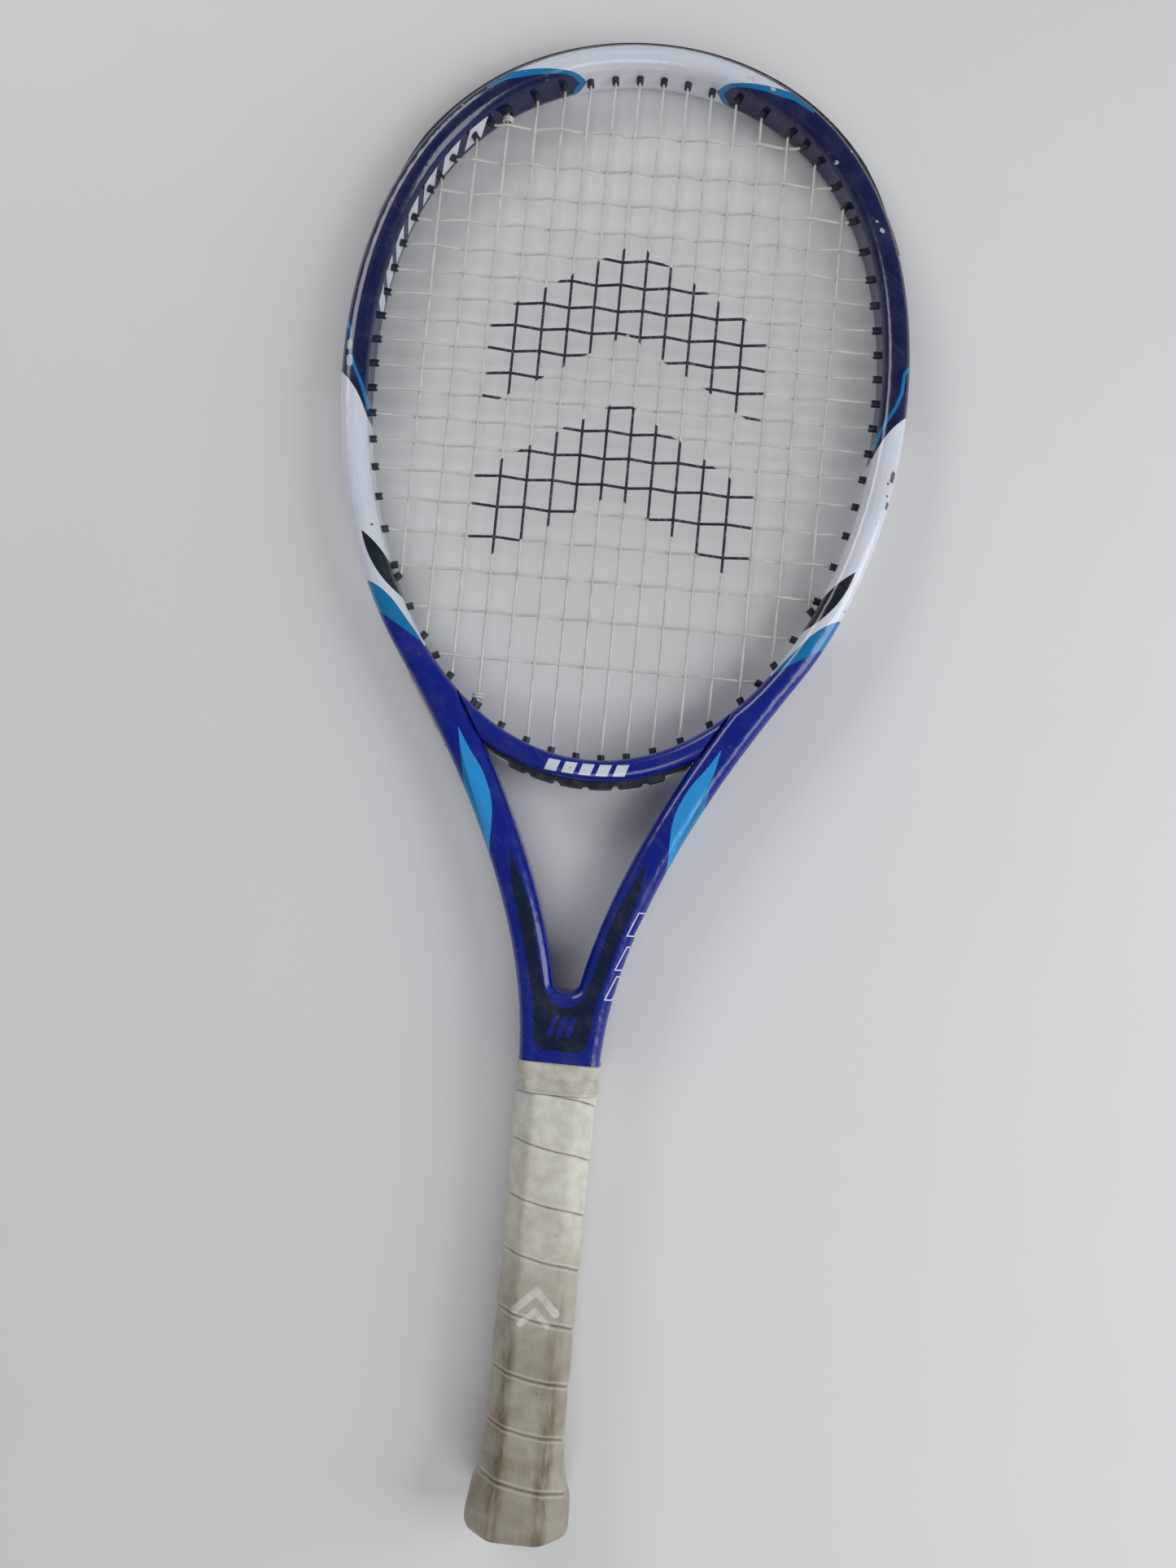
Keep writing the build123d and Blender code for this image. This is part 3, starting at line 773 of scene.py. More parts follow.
        side = (y - 512.0).cover(1.0)
        return ((pale | ovals).cover(0.2) | scattered * side), (dark.cover(0.2) | scattered * (1.0 - side))

    def build(self) -> bpy.types.Material:
        """Makes the material.

        Returns:
            The material.
        """
        surface = Surface("FrameLacquer")
        place = surface.place()
        x, y, z = surface.split(place)
        half = x.math("ABSOLUTE")
        colour = self._bands(surface, half, y, z)
        white, blue = self._marks(surface, x, y, z)
        colour = surface.mix(blue, colour, Tone.ROYAL)
        colour = surface.mix(white, colour, Tone.WHITE)
        shade = surface.noise(place, 26.0, 3.0, seed=2.0)
        colour = surface.mix(shade.rise(0.45, 0.9) * 0.12, colour, Tone.LEAF)
        pale, dark = self._worn(surface, place, x, half, y)
        colour = surface.mix(pale * 0.9, colour, Tone.CHIP)
        colour = surface.mix(dark * 0.9, colour, Tone.SPECK)
        film = surface.field(surface.effect(EFFECTS.grime, Place=place, Grain=14.0, Cover=0.25,
                                            Seed=4.0).outputs[0])
        colour = surface.mix(film * 0.06, colour, Tone.PUTTY)
        rubbed = surface.field(surface.effect(EFFECTS.scratches, Place=place, Grain=1.6, Cover=0.25,
                                              Turn=0.7).outputs[0])
        colour = surface.mix(rubbed * 0.035, colour, Tone.PUTTY)
        peel = surface.noise(place, 1.6, 2.0, seed=7.0)
        normal = surface.bump(peel, 0.012)
        normal = surface.bump(1.0 - (pale | dark), 0.12, normal)
        rough = film * 0.10 + rubbed * 0.12 + (pale | dark) * 0.35 + 0.2
        return surface.shade(Base_Color=colour, Roughness=rough, Normal=normal, IOR=1.45, Coat_Weight=0.35,
                             Coat_Roughness=0.06)


@dataclass(frozen=True)
class SatinPlastic:
    """Moulded nylon with a fine grain, rubbed paler where it has been knocked."""

    name: str
    base: Tone
    worn: Tone
    rubbed: float = 0.3      # how much of it is scratched
    rough: float = 0.42
    pale_dust: float = 0.12

    def build(self) -> bpy.types.Material:
        """Makes the material.

        Returns:
            The material.
        """
        surface = Surface(self.name)
        place = surface.place()
        lines = surface.field(surface.effect(EFFECTS.scratches, Place=place, Grain=0.9, Cover=self.rubbed,
                                             Turn=1.1).outputs[0])
        dust = surface.field(surface.effect(EFFECTS.grime, Place=place, Grain=5.0, Cover=0.3,
                                            Seed=1.0).outputs[0])
        grain = surface.field(surface.effect(EFFECTS.grain, Place=place, Grain=0.35).outputs[0])
        colour = surface.mix(lines * 0.6, self.base, self.worn)
        colour = surface.mix(dust * self.pale_dust, colour, Tone.PUTTY)
        rough = grain * 0.12 + lines * 0.2 + (self.rough - 0.05)
        return surface.shade(Base_Color=colour, Roughness=rough, Normal=surface.bump(grain, 0.03), IOR=1.5)


@dataclass(frozen=True)
class StringGut:
    """Whitish, slightly clear string, with a dark ink mark of two nested chevrons."""

    mark_top: float = 588.0
    mark_low: float = 440.0

    def _mark(self, surface: Surface, place: bpy.types.NodeSocket, half: Field, y: Field) -> Field:
        """Mask of the stencilled mark, with an uneven edge.

        Args:
            surface: the material.
            place: position.
            half: distance from the middle line.
            y: place along.

        Returns:
            The mask.
        """
        ragged = (surface.noise(place, 2.2, 3.0, seed=9.0) - 0.5) * 2.4
        off = y + half * 0.62 + ragged
        bars = ((off - (self.mark_top - 46.0)) & (self.mark_top - off)) \
            | ((off - (self.mark_low + 24.0)) & (self.mark_low + 70.0 - off))
        return (bars & (66.0 - half - ragged)).cover(0.5)

    def build(self) -> bpy.types.Material:
        """Makes the material.

        Returns:
            The material.
        """
        surface = Surface("StringGut")
        place = surface.place()
        x, y, _ = surface.split(place)
        ink = self._mark(surface, place, x.math("ABSOLUTE"), y)
        thin = surface.noise(place, 1.6, 3.0, seed=6.0).rise(0.34, 0.5)
        ink = ink * (thin * 0.15 + 0.85)
        stain = surface.field(surface.effect(EFFECTS.grime, Place=place, Grain=9.0, Cover=0.45,
                                             Seed=3.0).outputs[0])
        colour = surface.mix(stain * 0.7, Tone.GUT, Tone.GUT_STAINED)
        colour = surface.mix(ink, colour, Tone.INK)
        twist = surface.field(surface.effect(EFFECTS.grain, Place=place, Grain=0.3, Seed=2.0).outputs[0])
        rough = stain * 0.12 + ink * 0.22 + twist * 0.08 + 0.24
        return surface.shade(Base_Color=colour, Roughness=rough, Normal=surface.bump(twist, 0.02), IOR=1.5,
                             Transmission_Weight=0.18)


@dataclass(frozen=True)
class GripLeather:
    """Cream synthetic leather wrap: soiled towards the butt, with dirt and painted shadow in its seams, painted
    highlights beside them, and dirt with painted shade along the front's edges.
    """

    length: float = 187.5

    def build(self) -> bpy.types.Material:
        """Makes the material.

        Returns:
            The material.
        """
        surface = Surface("GripLeather")
        place = surface.place()
        x, y, z = surface.split(place)
        gap = surface.field(surface.node("Attribute").outputs["Fac"])
        gap.socket.node.attribute_name = "seam_gap"
        low = 1.0 - y / self.length
        blotch = surface.field(surface.effect(EFFECTS.grime, Place=place, Grain=22.0, Cover=0.42,
                                              Seed=1.0).outputs[0])
        mottle = surface.noise(place, 5.0, 4.0, seed=5.0)
        pale = surface.mix(mottle.rise(0.3, 0.7), Tone.WRAP, Tone.WRAP_PALE)
        soil_and_shade = low.rise(0.12, 0.72) * 0.58 + blotch * 0.22 - 0.06
        streak = surface.noise(surface.join(x, y * 0.18, z), 2.6, 3.0, seed=8.0)
        wander = (surface.noise(surface.join(x, y * 0.3, z), 9.0, 3.0, seed=12.0) - 0.5) * 5.0
        # Dark bands along both edges of the front, stronger towards the butt: dirt, and on the left edge also
        # painted shade of the bevel.
        bands = 1.0 - (x.math("ABSOLUTE") - 9.6 + wander).math("ABSOLUTE").rise(0.0, 5.2)
        bands = bands * (z - 8.0).cover(2.0)
        soil_and_shade = soil_and_shade + bands * low.rise(0.05, 0.9) * (streak.rise(0.25, 0.75) * 0.42 + 0.06)
        # Darker along a line at 33 mm, where the flare starts, and at the butt's rim.
        flare = (y - 33.0).math("ABSOLUTE")
        soil_and_shade = soil_and_shade + (1.0 - flare.rise(0.0, 4.0)) * 0.12 + (1.0 - y.rise(2.0, 12.0)) * 0.14
        colour = surface.mix((soil_and_shade | 0.0) & 1.0, pale, Tone.WRAP_SOIL_AND_SHADE)
        # Painted highlight on the raised edge beside each seam.
        lit = gap.rise(0.7, 1.0) * (1.0 - gap.rise(1.2, 2.2))
        colour = surface.mix(lit * 0.28, colour, Tone.WRAP_PALE)
        # Dark line in each seam: dirt, and painted shadow in the groove.
        seam_dirt_and_shadow = 1.0 - (gap + (mottle - 0.5) * 0.35).rise(0.08, 0.46)
        colour = surface.mix(seam_dirt_and_shadow * 0.72, colour, Tone.DIRT_AND_SEAM_SHADOW)
        sketch = Sketch(surface, x, y)
        emblem = sketch.line([(-9.0, 96.0), (0.0, 105.0), (9.0, 96.0)], 3.2) \
            | sketch.line([(-6.0, 90.5), (0.0, 96.5), (6.0, 90.5)], 2.6)
        emblem = emblem.cover(0.5) * z.rise(4.0, 10.0) * (mottle.rise(0.25, 0.6) * 0.5 + 0.4)
        colour = surface.mix(emblem * 0.8, colour, Tone.WRAP_PALE)
        specks = surface.field(surface.effect(EFFECTS.chips, Place=place, Grain=5.5, Size=0.06,
                                              Share=0.44).outputs[0])
        specks = specks * (x + 4.0).rise(0.0, 12.0)
        colour = surface.mix(specks * 0.9, colour, Tone.SPECK)
        grain = surface.field(surface.effect(EFFECTS.grain, Place=place, Grain=0.55, Seed=3.0).outputs[0])
        creases = surface.noise(surface.join(x, y * 2.2, z), 4.2, 3.0, seed=2.0)
        normal = surface.bump(creases, 0.22)
        normal = surface.bump(grain, 0.07, normal)
        rough = grain * 0.14 + seam_dirt_and_shadow * 0.1 - blotch * 0.06 + 0.54
        return surface.shade(Base_Color=colour, Roughness=rough, Normal=normal, Sheen_Weight=0.12,
                             Sheen_Roughness=0.5, IOR=1.45)


@dataclass(frozen=True)
class SoftSkin:
    """Matt rubber, tape or foam: one tone, mottled, with blotches of dirt."""

    name: str
    base: Tone
    soiled: Tone
    grain: float = 0.4
    depth: float = 0.05
    rough: float = 0.6
    dirt: float = 0.5

    def build(self) -> bpy.types.Material:
        """Makes the material.

        Returns:
            The material.
        """
        surface = Surface(self.name)
        place = surface.place()
        fine = surface.field(surface.effect(EFFECTS.grain, Place=place, Grain=self.grain,
                                            Seed=6.0).outputs[0])
        dirt = surface.field(surface.effect(EFFECTS.grime, Place=place, Grain=6.0, Cover=0.4,
                                            Seed=7.0).outputs[0])
        colour = surface.mix(dirt * self.dirt, self.base, self.soiled)
        return surface.shade(Base_Color=colour, Roughness=fine * 0.15 + dirt * 0.08 + (self.rough - 0.07),
                             Normal=surface.bump(fine, self.depth), IOR=1.45)


@dataclass(frozen=True)
class StapleSteel:
    """Bright wire, dulled in patches."""

    def build(self) -> bpy.types.Material:
        """Makes the material.

        Returns:
            The material.
        """
        surface = Surface("StapleSteel")
        place = surface.place()
        dull = surface.field(surface.effect(EFFECTS.grime, Place=place, Grain=2.0, Cover=0.5).outputs[0])
        colour = surface.mix(dull * 0.5, Tone.STEEL, Tone.DIRT_AND_SEAM_SHADOW)
        return surface.shade(Base_Color=colour, Roughness=dull * 0.3 + 0.25, Metallic=1.0)


# ---------------------------------------------------------------- meshes

def dress(node: str, material: bpy.types.Material) -> None:
    """Gives a carried-over CAD piece its finish.

    Args:
        node: the piece's name.
        material: its finish.
    """
    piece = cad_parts[node]
    if not piece.material_slots:
        piece.data.materials.append(material)
    for slot in piece.material_slots:
        slot.material = material
    log.info("%s wears %s", node, material.name)


def octagon_reach(angles: np.ndarray, half: np.ndarray, depth: np.ndarray, bevel: np.ndarray,
                  crisp: float) -> np.ndarray:
    """Distance from the axis to the skin of a soft-cornered eight-sided section.

    Args:
        angles: directions round the axis.
        half: half widths, one for each row.
        depth: half depths.
        bevel: legs of the corner bevels.
        crisp: how sharp the corners are.

    Returns:
        Rows by directions.
    """
    total = np.zeros((len(half), len(angles)))
    slant = (half + depth - bevel) / math.sqrt(2)
    for side in range(8):
        normal = side * math.pi / 4
        flat = (half, slant, depth, slant)[side % 4]
        facing = np.maximum(0.0, np.cos(angles - normal))
        total += (facing[None, :] / flat[:, None]) ** crisp
    return total ** (-1 / crisp)


def tube_mesh(name: str, points: np.ndarray, ring: bool,
              values: Optional[dict[str, np.ndarray]] = None) -> bpy.types.Object:
    """Makes a smooth mesh of rows that close round.

    Args:
        name: the object's name.
        points: rows by columns by 3, in millimetres.
        ring: whether the last row joins the first; if not, the end rows are single points repeated.
        values: numbers to keep at each point, by name.

    Returns:
        The object.
    """
    rows, columns = points.shape[:2]
    column = np.arange(columns)
    after = (column + 1) % columns
    if ring:
        flat = points.reshape(-1, 3)
        index = np.arange(rows * columns).reshape(rows, columns)
        pairs = [(index[r], index[(r + 1) % rows]) for r in range(rows)]
        faces = [np.stack([low[column], low[after], high[after], high[column]], 1) for low, high in pairs]
        polygons = np.concatenate(faces).tolist()
    else:
        body = points[1:-1]
        flat = np.concatenate([points[:1, 0], body.reshape(-1, 3), points[-1:, 0]])
        index = 1 + np.arange(body.shape[0] * columns).reshape(body.shape[0], columns)
        polygons = np.concatenate([np.stack([low[column], low[after], high[after], high[column]], 1)
                                   for low, high in zip(index, index[1:])]).tolist()
        last = len(flat) - 1
        polygons += [[0, int(index[0][b]), int(index[0][a])] for a, b in zip(column, after)]
        polygons += [[last, int(index[-1][a]), int(index[-1][b])] for a, b in zip(column, after)]
    mesh = bpy.data.meshes.new(name)
    mesh.from_pydata((flat * MM).tolist(), [], polygons)
    mesh.shade_smooth()
    for label, numbers in (values or {}).items():
        layer = mesh.attributes.new(label, "FLOAT", "POINT")
        layer.data.foreach_set("value", numbers.astype(np.float32).ravel())
    made = bpy.data.objects.new(name, mesh)
    bpy.context.scene.collection.objects.link(made)
    return made


def finish_piece(piece: bpy.types.Object, material: bpy.types.Material, slot: str, *stands_for: str) -> None:
    """Dresses a new piece and puts it in the place of its CAD nodes.

    Args:
        piece: the new mesh.
        material: its finish.
        slot: the record's material slot; not used.
        stands_for: CAD nodes that it replaces.
    """
    piece.data.materials.append(material)
    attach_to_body(piece, "root")
    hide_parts(*stands_for)
    log.info("%s stands for %s", piece.name, ", ".join(stands_for))


# ---------------------------------------------------------------- sub-assemblies

@dataclass(frozen=True)
class HairpinFrame:
    """The lacquered hoop with its legs, and the throat bridge."""

    nodes: tuple[str, ...] = ("frame_tube", "throat_bridge")

    def build(self) -> None:
        """Dresses the CAD pieces."""
        lacquer = FrameLacquer().build()
        for node in self.nodes:
            dress(node, lacquer)


@dataclass(frozen=True)
class GrommetSet:
    """Grommet strips round the hoop and the guard over the crown."""

    strips: tuple[str, ...] = ("grommet_strip_left", "grommet_strip_right", "grommet_strip_throat")
    guard: str = "bumper_guard"
    middle: float = 553.2        # the crown's centre, which the rail's steps turn about
    rail_half: float = 6.0       # the guard's proud rail: half width, height over the guard, depth in it
    rail_proud: float = 1.6
    rail_sunk: float = 1.0
    rail_steps: int = 160
    rail_columns: int = 24
    rail_run_out: float = 22.0    # steps over which each end dies away
    rail_crisp: float = 4.0

    def _outline(self) -> tuple[np.ndarray, np.ndarray]:
        """Reads the guard's outermost line from its own mesh.

        Returns:
            Directions from the crown's centre, clockwise from +Y, and the reach in each.
        """
        mesh = bpy.data.objects[self.guard].data
        flat = np.empty(len(mesh.vertices) * 3)
        mesh.vertices.foreach_get("co", flat)
        places = flat.reshape(-1, 3) / MM
        turn = np.arctan2(places[:, 0], places[:, 1] - self.middle)
        reach = np.hypot(places[:, 0], places[:, 1] - self.middle)
        edges = np.linspace(turn.min(), turn.max(), self.rail_steps // 4 + 1)
        slots = np.clip(np.digitize(turn, edges) - 1, 0, len(edges) - 2)
        best = [int(np.argmax(np.where(slots == slot, reach, 0.0))) for slot in range(len(edges) - 1)]
        steps = np.linspace(turn[best[0]], turn[best[-1]], self.rail_steps)
        return steps, np.interp(steps, turn[best], reach[best])

    def build_rail(self, material: bpy.types.Material) -> None:
        """Makes the rail that stands proud of the frame all along the guard.

        Args:
            material: its finish.
        """
        steps, reach = self._outline()
        count = np.arange(self.rail_steps)
        fade = np.clip(np.minimum(count, count[::-1]) / self.rail_run_out, 0.0, 1.0) ** 0.5
        round_it = np.linspace(0.0, 2 * math.pi, self.rail_columns, endpoint=False)
        swell = (np.abs(np.cos(round_it)) ** self.rail_crisp + np.abs(np.sin(round_it)) ** self.rail_crisp)
        swell = swell ** (-1 / self.rail_crisp)
        high = (self.rail_proud + self.rail_sunk) / 2
        middle = (reach - self.rail_sunk + high)[:, None]
        out = middle + fade[:, None] * high * (swell * np.cos(round_it))[None, :]
        out = out - (1.0 - fade[:, None]) * self.rail_proud
        side = fade[:, None] * self.rail_half * (swell * np.sin(round_it))[None, :]
        points = np.stack([out * np.sin(steps)[:, None], self.middle + out * np.cos(steps)[:, None], side], 2)
        rail = tube_mesh("guard_rail", points, ring=False)
        rail.data.materials.append(material)
        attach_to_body(rail, "root")
        log.info("%s made", rail.name)

    def build(self) -> None:
        """Dresses the CAD pieces and adds the guard's rail."""
        nylon = SatinPlastic("GrommetNylon", Tone.PLASTIC, Tone.PLASTIC_WORN, rubbed=0.1).build()
        for node in self.strips:
            dress(node, nylon)
        tough = SatinPlastic("GuardNylon", Tone.GUARD, Tone.PLASTIC_WORN, rubbed=0.35, rough=0.5).build()
        dress(self.guard, tough)
        self.build_rail(tough)


@dataclass(frozen=True)
class StringBed:
    """Mains, crosses and their knots."""

    nodes: tuple[str, ...] = ("main_string", "cross_string", "mains_knot", "crosses_knot")

    def build(self) -> None:
        """Dresses the CAD pieces."""
        gut = StringGut().build()
        for node in self.nodes:
            dress(node, gut)


@dataclass(frozen=True)
class Handle:
    """Pallet, butt cap, wrapped grip, tape, rubber collar and staples."""

    columns: int = 240                 # points round a section
    crisp: float = 26.0                # sharpness of the handle's corners
    collar_low: float = 188.1          # the rubber collar's lower lip, its height, and its taper
    collar_tall: float = 13.0
    collar_blend: float = 6.4
    wire: float = 0.36                 # radius of the staple's wire, and its height on the butt
    tack_height: float = 6.5
    flattening: float = 2.2            # half depth is this much less than half width
    bevel: float = 8.0
    butt_round: float = 6.0            # the wrap's rounding at the butt's edge
    wrap_top: float = 187.9
    wrap_wall: float = 1.5
    row_step: float = 0.28             # distance between the wrap's rows
    overlap: float = 0.42              # how far a turn's lower edge stands over the next turn
    crown: float = 0.22                # swelling of a turn between its seams
    valley: float = 0.62               # depth of a seam
    # half width of the wrapped handle at heights from the butt
    half_heights: tuple[float, ...] = (0.0, 5.0, 10.0, 15.0, 20.0, 26.0, 31.0, 35.0, 40.0, 134.0,
                                       160.0, 187.9)
    half_widths: tuple[float, ...] = (21.9, 22.35, 22.3, 21.5, 19.9, 18.5, 17.55, 17.3, 17.2, 17.15,
                                      17.4, 17.9)
    # heights at which the wrap's seams pass the left edge, from above the collar downwards
    seams: tuple[float, ...] = (216.5, 192.8, 169.4, 145.2, 122.2, 97.4, 72.4, 49.6, 28.2, 7.0, -15.0)
    front_share: float = 0.43          # share of a turn's climb that the front takes

    def _half(self, height: np.ndarray) -> np.ndarray:
        """Half width of the wrapped handle, with its steps smoothed."""
        steps = np.linspace(-2.5, 2.5, 11)
        return np.mean([np.interp(height + s, self.half_heights, self.half_widths) for s in steps], axis=0)

    def _seam(self, height: np.ndarray, angles: np.ndarray) -> tuple[np.ndarray, np.ndarray]:
        """Distances to the seam above and to the seam below each point.

        Args:
            height: rows.
            angles: directions round the axis, from +X towards +Z.

        Returns:
            Two arrays of rows by columns, in millimetres.
        """
        turn = np.mod(math.pi - angles, 2 * math.pi)          # from the left edge over the front
        front = np.clip(turn / math.pi, 0, 1) * self.front_share
        back = np.clip(turn / math.pi - 1, 0, 1) * (1 - self.front_share)
        wander = 0.02 * np.sin(turn * 2 + 0.7) + 0.012 * np.sin(turn * 5)
        heights = np.array(self.seams[::-1])
        count = np.interp(height, heights, np.arange(len(heights))[::-1])
        place = count[:, None] - (front + back + wander)[None, :]
        share = place - np.floor(place)
        pitch = np.interp(height, heights[1:], np.diff(heights))[:, None]
        return share * pitch, (1 - share) * pitch

    def _ring(self, height: np.ndarray, half: np.ndarray, relief: np.ndarray, angles: np.ndarray,
              depth: Optional[np.ndarray] = None, bevel: Optional[np.ndarray] = None) -> np.ndarray:
        """Points of sections round the handle's axis.

        Args:
            height: one for each row.
            half: half widths.
            relief: how far the skin stands out, rows by columns or rows by 1.
            angles: directions.
            depth: half depths, or None for the handle's own.
            bevel: bevel legs, or None for the handle's own.

        Returns:
            Rows by columns by 3.
        """
        depth = half - self.flattening * np.clip(half / 10, 0, 1) if depth is None else depth
        bevel = self.bevel * np.clip(half / 17.3, 0, 1.15) if bevel is None else bevel
        reach = octagon_reach(angles, half, depth, bevel, self.crisp) + relief
        return np.stack([reach * np.cos(angles), np.broadcast_to(height[:, None], reach.shape),
                         reach * np.sin(angles)], 2)

    def build_wrap(self, angles: np.ndarray) -> bpy.types.Object:
        """The grip: a padded strip wound up the handle, curled over the butt's edge.

        Args:
            angles: directions round the handle.

        Returns:
            The wrap.
        """
        straight = np.arange(0.4 + self.butt_round, self.wrap_top, self.row_step)
        curl = np.linspace(0, math.pi / 2, 12)[:-1]
        height = np.concatenate([[1.6, 0.5], 0.4 + self.butt_round * (1 - np.cos(curl)), straight])
        inset = np.concatenate([[7.2, 7.0], self.butt_round * (1 - np.sin(curl)), np.zeros(len(straight))])
        above, below = self._seam(height, angles)
        climb = above / (above + below)
        near_end = np.clip((height - 2.0) / 5.0, 0, 1)[:, None]
        relief = self.overlap * (climb - 0.4) + self.crown * np.sin(math.pi * climb)
        relief -= self.valley * (np.exp(-(above / 0.55) ** 2) + np.exp(-(below / 0.4) ** 2) * 0.8)
        wobble = np.random.default_rng(7)
        for _ in range(14):
            wave, turns, phase = wobble.uniform(0.05, 0.5), wobble.integers(1, 7), wobble.uniform(0, 6.28)
            relief += 0.035 * np.sin(height[:, None] * wave + turns * angles[None, :] + phase)
        relief *= near_end
        ridge = np.exp(-((height - 33.5) / 1.7) ** 2)[:, None] * (0.22 + 0.12 * np.sin(angles * 3 + 1.0))
        outer = self._ring(height, self._half(height) - inset, relief + ridge, angles)
        low = np.linspace(self.wrap_top, 1.6, 60)
        lining = self._half(low) - self.wrap_wall - np.interp(low, [1.6, 3.0, 5.5, 9.0], [5.7, 3.2, 1.2, 0.0])
        inner = self._ring(low, lining, np.zeros((len(low), 1)), angles)
        gap = np.concatenate([np.minimum(above, below), np.full((len(low), len(angles)), 9.0)])
        gap[:14] += 3.0 * (1 - near_end[:14])
        return tube_mesh("grip_wrap", np.concatenate([outer, inner]), True, {"seam_gap": gap})

    def build_cap(self, angles: np.ndarray) -> bpy.types.Object:
        """The flared end cap: a cup with a rim and a sunk end face with a raised disc.

        Args:
            angles: directions round the handle.

        Returns:
            The cap.
        """
        rows = [(3.2, 0.0), (3.2, 12.0), (3.3, 14.2), (3.8, 14.5), (20.0, 14.5), (37.4, 14.5), (37.9, 14.7),
                (37.9, 15.2), (37.4, 15.5), (32.0, 15.6), (26.0, 16.6), (20.0, 18.0), (14.0, 19.3), (9.5, 19.5),
                (6.0, 18.4),
                (3.6, 16.6), (2.0, 15.0), (1.0, 14.4), (0.5, 14.1), (0.2, 13.7), (0.2, 13.2), (0.5, 12.9),
                (1.2, 12.7), (1.3, 12.4), (1.3, 7.4), (1.2, 7.0), (0.7, 6.8), (0.6, 6.5), (0.6, 3.6), (0.75, 3.4),
                (1.1, 3.2),
                (1.1, 0.0)]
        height = np.array([row[0] for row in rows])
        half = np.array([max(row[1], 0.01) for row in rows])
        return tube_mesh("end_cap", self._ring(height, half, np.zeros((len(rows), 1)), angles), False)

    def build_sleeve(self, name: str, rows: Sequence[tuple[float, float, float, float]], wall: float,
                     angles: np.ndarray, ripple: float) -> bpy.types.Object:
        """A thin ring over the grip's end and the shaft.

        Args:
            name: the object's name.
            rows: (height, half width, half depth, bevel) of its outside.
            wall: its thickness.
            angles: directions.
            ripple: how uneven its skin is.

        Returns:
            The ring.
        """
        outside = np.array(rows)
        inside = outside[::-1].copy()
        inside[:, 1:3] -= wall
        both = np.concatenate([outside, inside])
        wave = ripple * (np.sin(angles * 3 + 1.0) + 0.6 * np.sin(angles * 7 + 0.3))[None, :]
        relief = wave * np.sin(np.linspace(0, math.pi, len(rows)))[:, None]
        relief = np.concatenate([relief, np.zeros_like(relief)])
        points = self._ring(both[:, 0], both[:, 1], relief, angles, both[:, 2], both[:, 3])
        return tube_mesh(name, points, True)

    def collar_rows(self) -> list[tuple[float, float, float, float]]:
        """Outside of the rubber collar: a bead at each lip and a waist between.

        Returns:
            (height, half width, half depth, bevel) from the lower lip up.
        """
        rows = []
        for share in np.linspace(0, 1, 40):
            height = self.collar_low + self.collar_tall * share
            blend = min(1.0, max(0.0, (height - self.collar_low) / self.collar_blend))
            bead = 0.32 * math.exp(-((share - 0.07) / 0.05) ** 2) \
                + 0.22 * math.exp(-((share - 0.95) / 0.05) ** 2)
            end = 0.5 * (max(0.0, 1 - share / 0.035) ** 2 + max(0.0, (share - 0.965) / 0.035) ** 2)
            grow = 0.5 + bead - end
            depth = 15.9 + (11.75 - 15.9) * blend ** 0.8
            bevel = 7.6 + (3.5 - 7.6) * blend
            rows.append((height, 18.35 + grow - 0.1 * blend, depth + grow, bevel + 0.3 * grow))
        return rows

    def build_tack(self) -> bpy.types.Object:
        """A wire staple pressed into the wrap at the back of the butt.

        Returns:
            The staple.
        """
        path = [(-3.0, -18.2), (-3.0, -20.15), (-2.6, -20.62), (-1.6, -20.7), (1.6, -20.7), (2.6, -20.62),
                (3.0, -20.15), (3.0, -18.2)]
        ring = np.linspace(0, 2 * math.pi, 16, endpoint=False)
        rows = []
        for index, (x, z) in enumerate(path):
            before, after = path[max(index - 1, 0)], path[min(index + 1, len(path) - 1)]
            along = np.array([after[0] - before[0], after[1] - before[1]])
            side = np.array([-along[1], along[0]]) / np.hypot(*along)
            rows.append([(x + self.wire * math.cos(a) * side[0], self.tack_height + self.wire * math.sin(a),
                          z + self.wire * math.cos(a) * side[1]) for a in ring])
        first = [(path[0][0], self.tack_height, path[0][1])] * len(ring)
        last = [(path[-1][0], self.tack_height, path[-1][1])] * len(ring)
        return tube_mesh("butt_staple", np.array([first, *rows, last]), False)

    def build(self) -> None:
        """Builds and dresses every piece of the handle."""
        angles = np.linspace(0, 2 * math.pi, self.columns, endpoint=False)
        dress("handle_pallet", SoftSkin("PalletFoam", Tone.FOAM, Tone.SPECK, grain=0.8, depth=0.15).build())
        steel = StapleSteel().build()
        dress("butt_cap_staples", steel)
        rubber = SoftSkin("CollarRubber", Tone.COLLAR, Tone.WRAP_SOIL_AND_SHADE, grain=0.5, rough=0.58,
                          dirt=0.4).build()
        vinyl = SoftSkin("TapeVinyl", Tone.TAPE, Tone.WRAP_SOIL_AND_SHADE, grain=0.9, depth=0.02, rough=0.4).build()
        cap = SoftSkin("CapPlastic", Tone.CAP, Tone.DIRT_AND_SEAM_SHADOW, grain=0.45, depth=0.04, rough=0.5,
                       dirt=0.55).build()
        finish_piece(self.build_wrap(angles), GripLeather().build(), "grip_wrap", "base_grip")
        finish_piece(self.build_cap(angles), cap, "cap_plastic", "butt_cap")
        finish_piece(self.build_sleeve("rubber_collar", self.collar_rows(), 0.5, angles, 0.04), rubber,
                     "collar_rubber", "grip_collar")
        tape = [(188.7, 18.1, 15.4, 7.2), (190.5, 18.15, 14.4, 6.4), (192.5, 18.18, 13.2, 5.0),
                (194.5, 18.2, 11.8, 3.4)]
        finish_piece(self.build_sleeve("end_tape", tape, 0.15, angles, 0.0), vinyl, "tape", "finishing_tape")
        finish_piece(self.build_tack(), steel, "staple_steel", "grip_staple")


# ---------------------------------------------------------------- studio

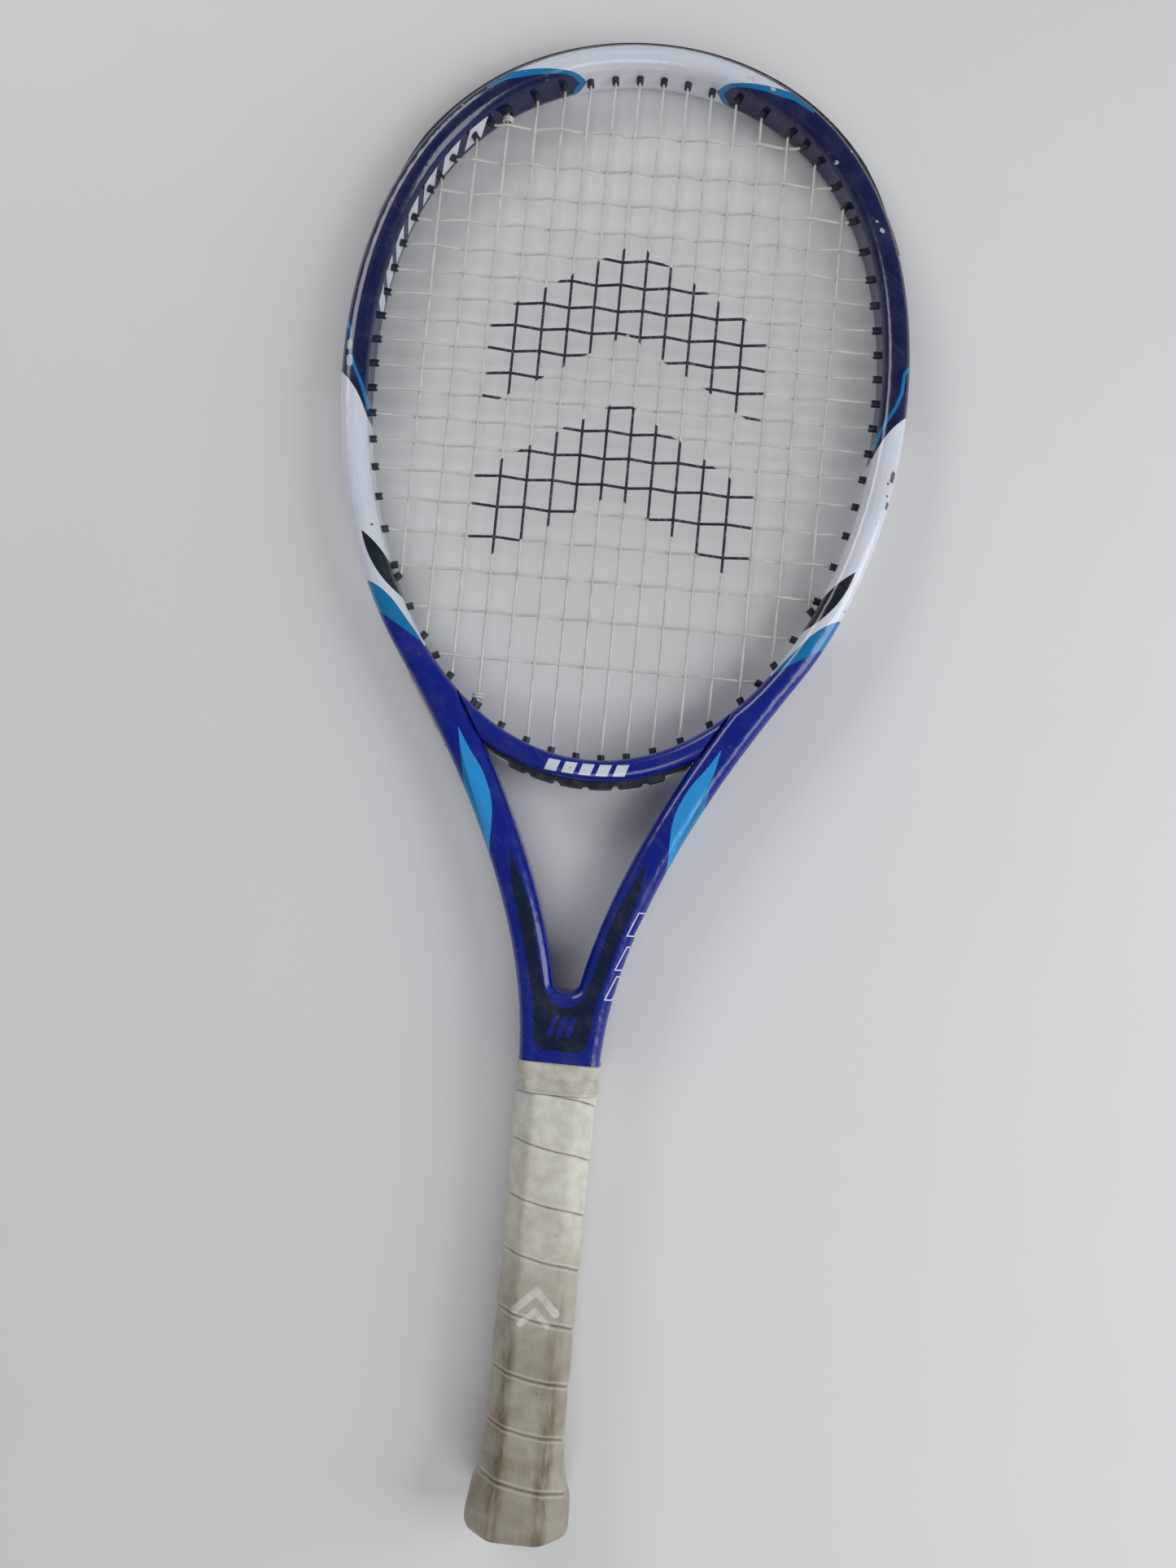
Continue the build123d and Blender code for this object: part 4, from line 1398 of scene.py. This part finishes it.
@dataclass(frozen=True)
class SoftBox:
    """A large soft lamp."""

    name: str
    place: tuple[float, float, float]
    aim: tuple[float, float, float]
    size: Pair
    power: float
    tint: tuple[float, float, float] = (1.0, 1.0, 1.0)

    def build(self) -> None:
        """Hangs the lamp."""
        data = bpy.data.lights.new(self.name, "AREA")
        data.shape = "RECTANGLE"
        data.size, data.size_y = self.size
        data.energy, data.color = self.power, self.tint
        lamp = bpy.data.objects.new(self.name, data)
        lamp.location = self.place
        lamp.rotation_euler = (Vector(self.aim) - Vector(self.place)).to_track_quat("-Z", "Y").to_euler()
        bpy.context.scene.collection.objects.link(lamp)


@dataclass(frozen=True)
class Studio:
    """Floor, light and camera."""

    eye: tuple[float, float, float] = (0.01633, 0.27928, 0.54106)
    tilt: float = 5.017                # the view's lean towards the crown, in degrees
    roll: float = 5.252
    yaw: float = -1.613
    lens: float = 27.10
    floor_reach: float = 6.0
    butt_rest: Pair = (10.0, -20.7)    # the butt's lowest place (height, depth), and the head's
    head_rest: Pair = (676.0, -11.9)
    world: float = 0.18

    def build_floor(self) -> None:
        """A pale floor under the butt and the head, with a faint mottle."""
        slope = (self.head_rest[1] - self.butt_rest[1]) / (self.head_rest[0] - self.butt_rest[0])
        level = (self.butt_rest[1] - slope * self.butt_rest[0]) * MM
        far = self.floor_reach
        corners = [(-far, -far), (far, -far), (far, far), (-far, far)]
        mesh = bpy.data.meshes.new("floor")
        mesh.from_pydata([(x, y, level + slope * y) for x, y in corners], [], [(0, 1, 2, 3)])
        surface = Surface("PaleFloor")
        place = surface.place()
        soft = surface.noise(place, 60.0, 4.0)
        colour = surface.mix(soft * 0.05, Tone.FLOOR, Tone.PUTTY)
        mesh.materials.append(surface.shade(Base_Color=colour, Roughness=0.75,
                                            Normal=surface.bump(surface.noise(place, 3.0, 4.0), 0.05)))
        floor = bpy.data.objects.new("floor", mesh)
        bpy.context.scene.collection.objects.link(floor)

    def build_lights(self) -> None:
        """Soft lamps on both sides and above, and a pale surround."""
        SoftBox("window", (-0.8, 1.3, 0.8), (0.0, 0.4, 0.0), (0.9, 0.5), 7.0, (0.97, 0.985, 1.0)).build()
        SoftBox("right_panel", (1.2, 0.3, 0.7), (0.0, 0.35, 0.0), (0.7, 1.2), 11.5, (0.96, 0.98, 1.0)).build()
        SoftBox("foot_panel", (0.35, -1.0, 1.3), (0.0, 0.3, 0.0), (1.2, 1.0), 11.0).build()
        world = bpy.data.worlds.new("surround")
        world.use_nodes = True
        shade = next(n for n in world.node_tree.nodes if n.type == "BACKGROUND")
        shade.inputs["Color"].default_value = (0.93, 0.95, 1.0, 1.0)
        shade.inputs["Strength"].default_value = self.world
        bpy.context.scene.world = world
        bpy.context.scene.view_settings.view_transform = "Standard"

    def build_camera(self) -> None:
        """The camera, nearly square to the strings and close above the throat."""
        tilt, roll, yaw = (math.radians(v) for v in (self.tilt, self.roll, self.yaw))
        ahead = Vector((0, math.sin(tilt), -math.cos(tilt)))
        upward = Vector((0, math.cos(tilt), math.sin(tilt)))
        across = Vector((1, 0, 0)) * math.cos(yaw) - ahead * math.sin(yaw)
        look = ahead * math.cos(yaw) + Vector((1, 0, 0)) * math.sin(yaw)
        right = across * math.cos(roll) + upward * math.sin(roll)
        up = upward * math.cos(roll) - across * math.sin(roll)
        data = bpy.data.cameras.new("camera")
        data.sensor_width, data.lens = 36.0, self.lens
        data.clip_start = 0.01
        camera = bpy.data.objects.new("camera", data)
        turn = Matrix((right, up, -look)).transposed().to_4x4()
        camera.matrix_world = Matrix.Translation(self.eye) @ turn
        bpy.context.scene.collection.objects.link(camera)
        bpy.context.scene.camera = camera

    def build(self) -> None:
        """Builds the studio."""
        self.build_camera()
        self.build_floor()
        self.build_lights()


def main() -> None:
    """Builds the studio and every sub-assembly in order."""
    logging.basicConfig(level=logging.INFO, format="%(name)s: %(message)s")
    Studio().build()
    for assembly in (HairpinFrame(), GrommetSet(), StringBed(), Handle()):
        log.info("building %s", type(assembly).__name__)
        assembly.build()


if __name__ == "__main__":
    main()
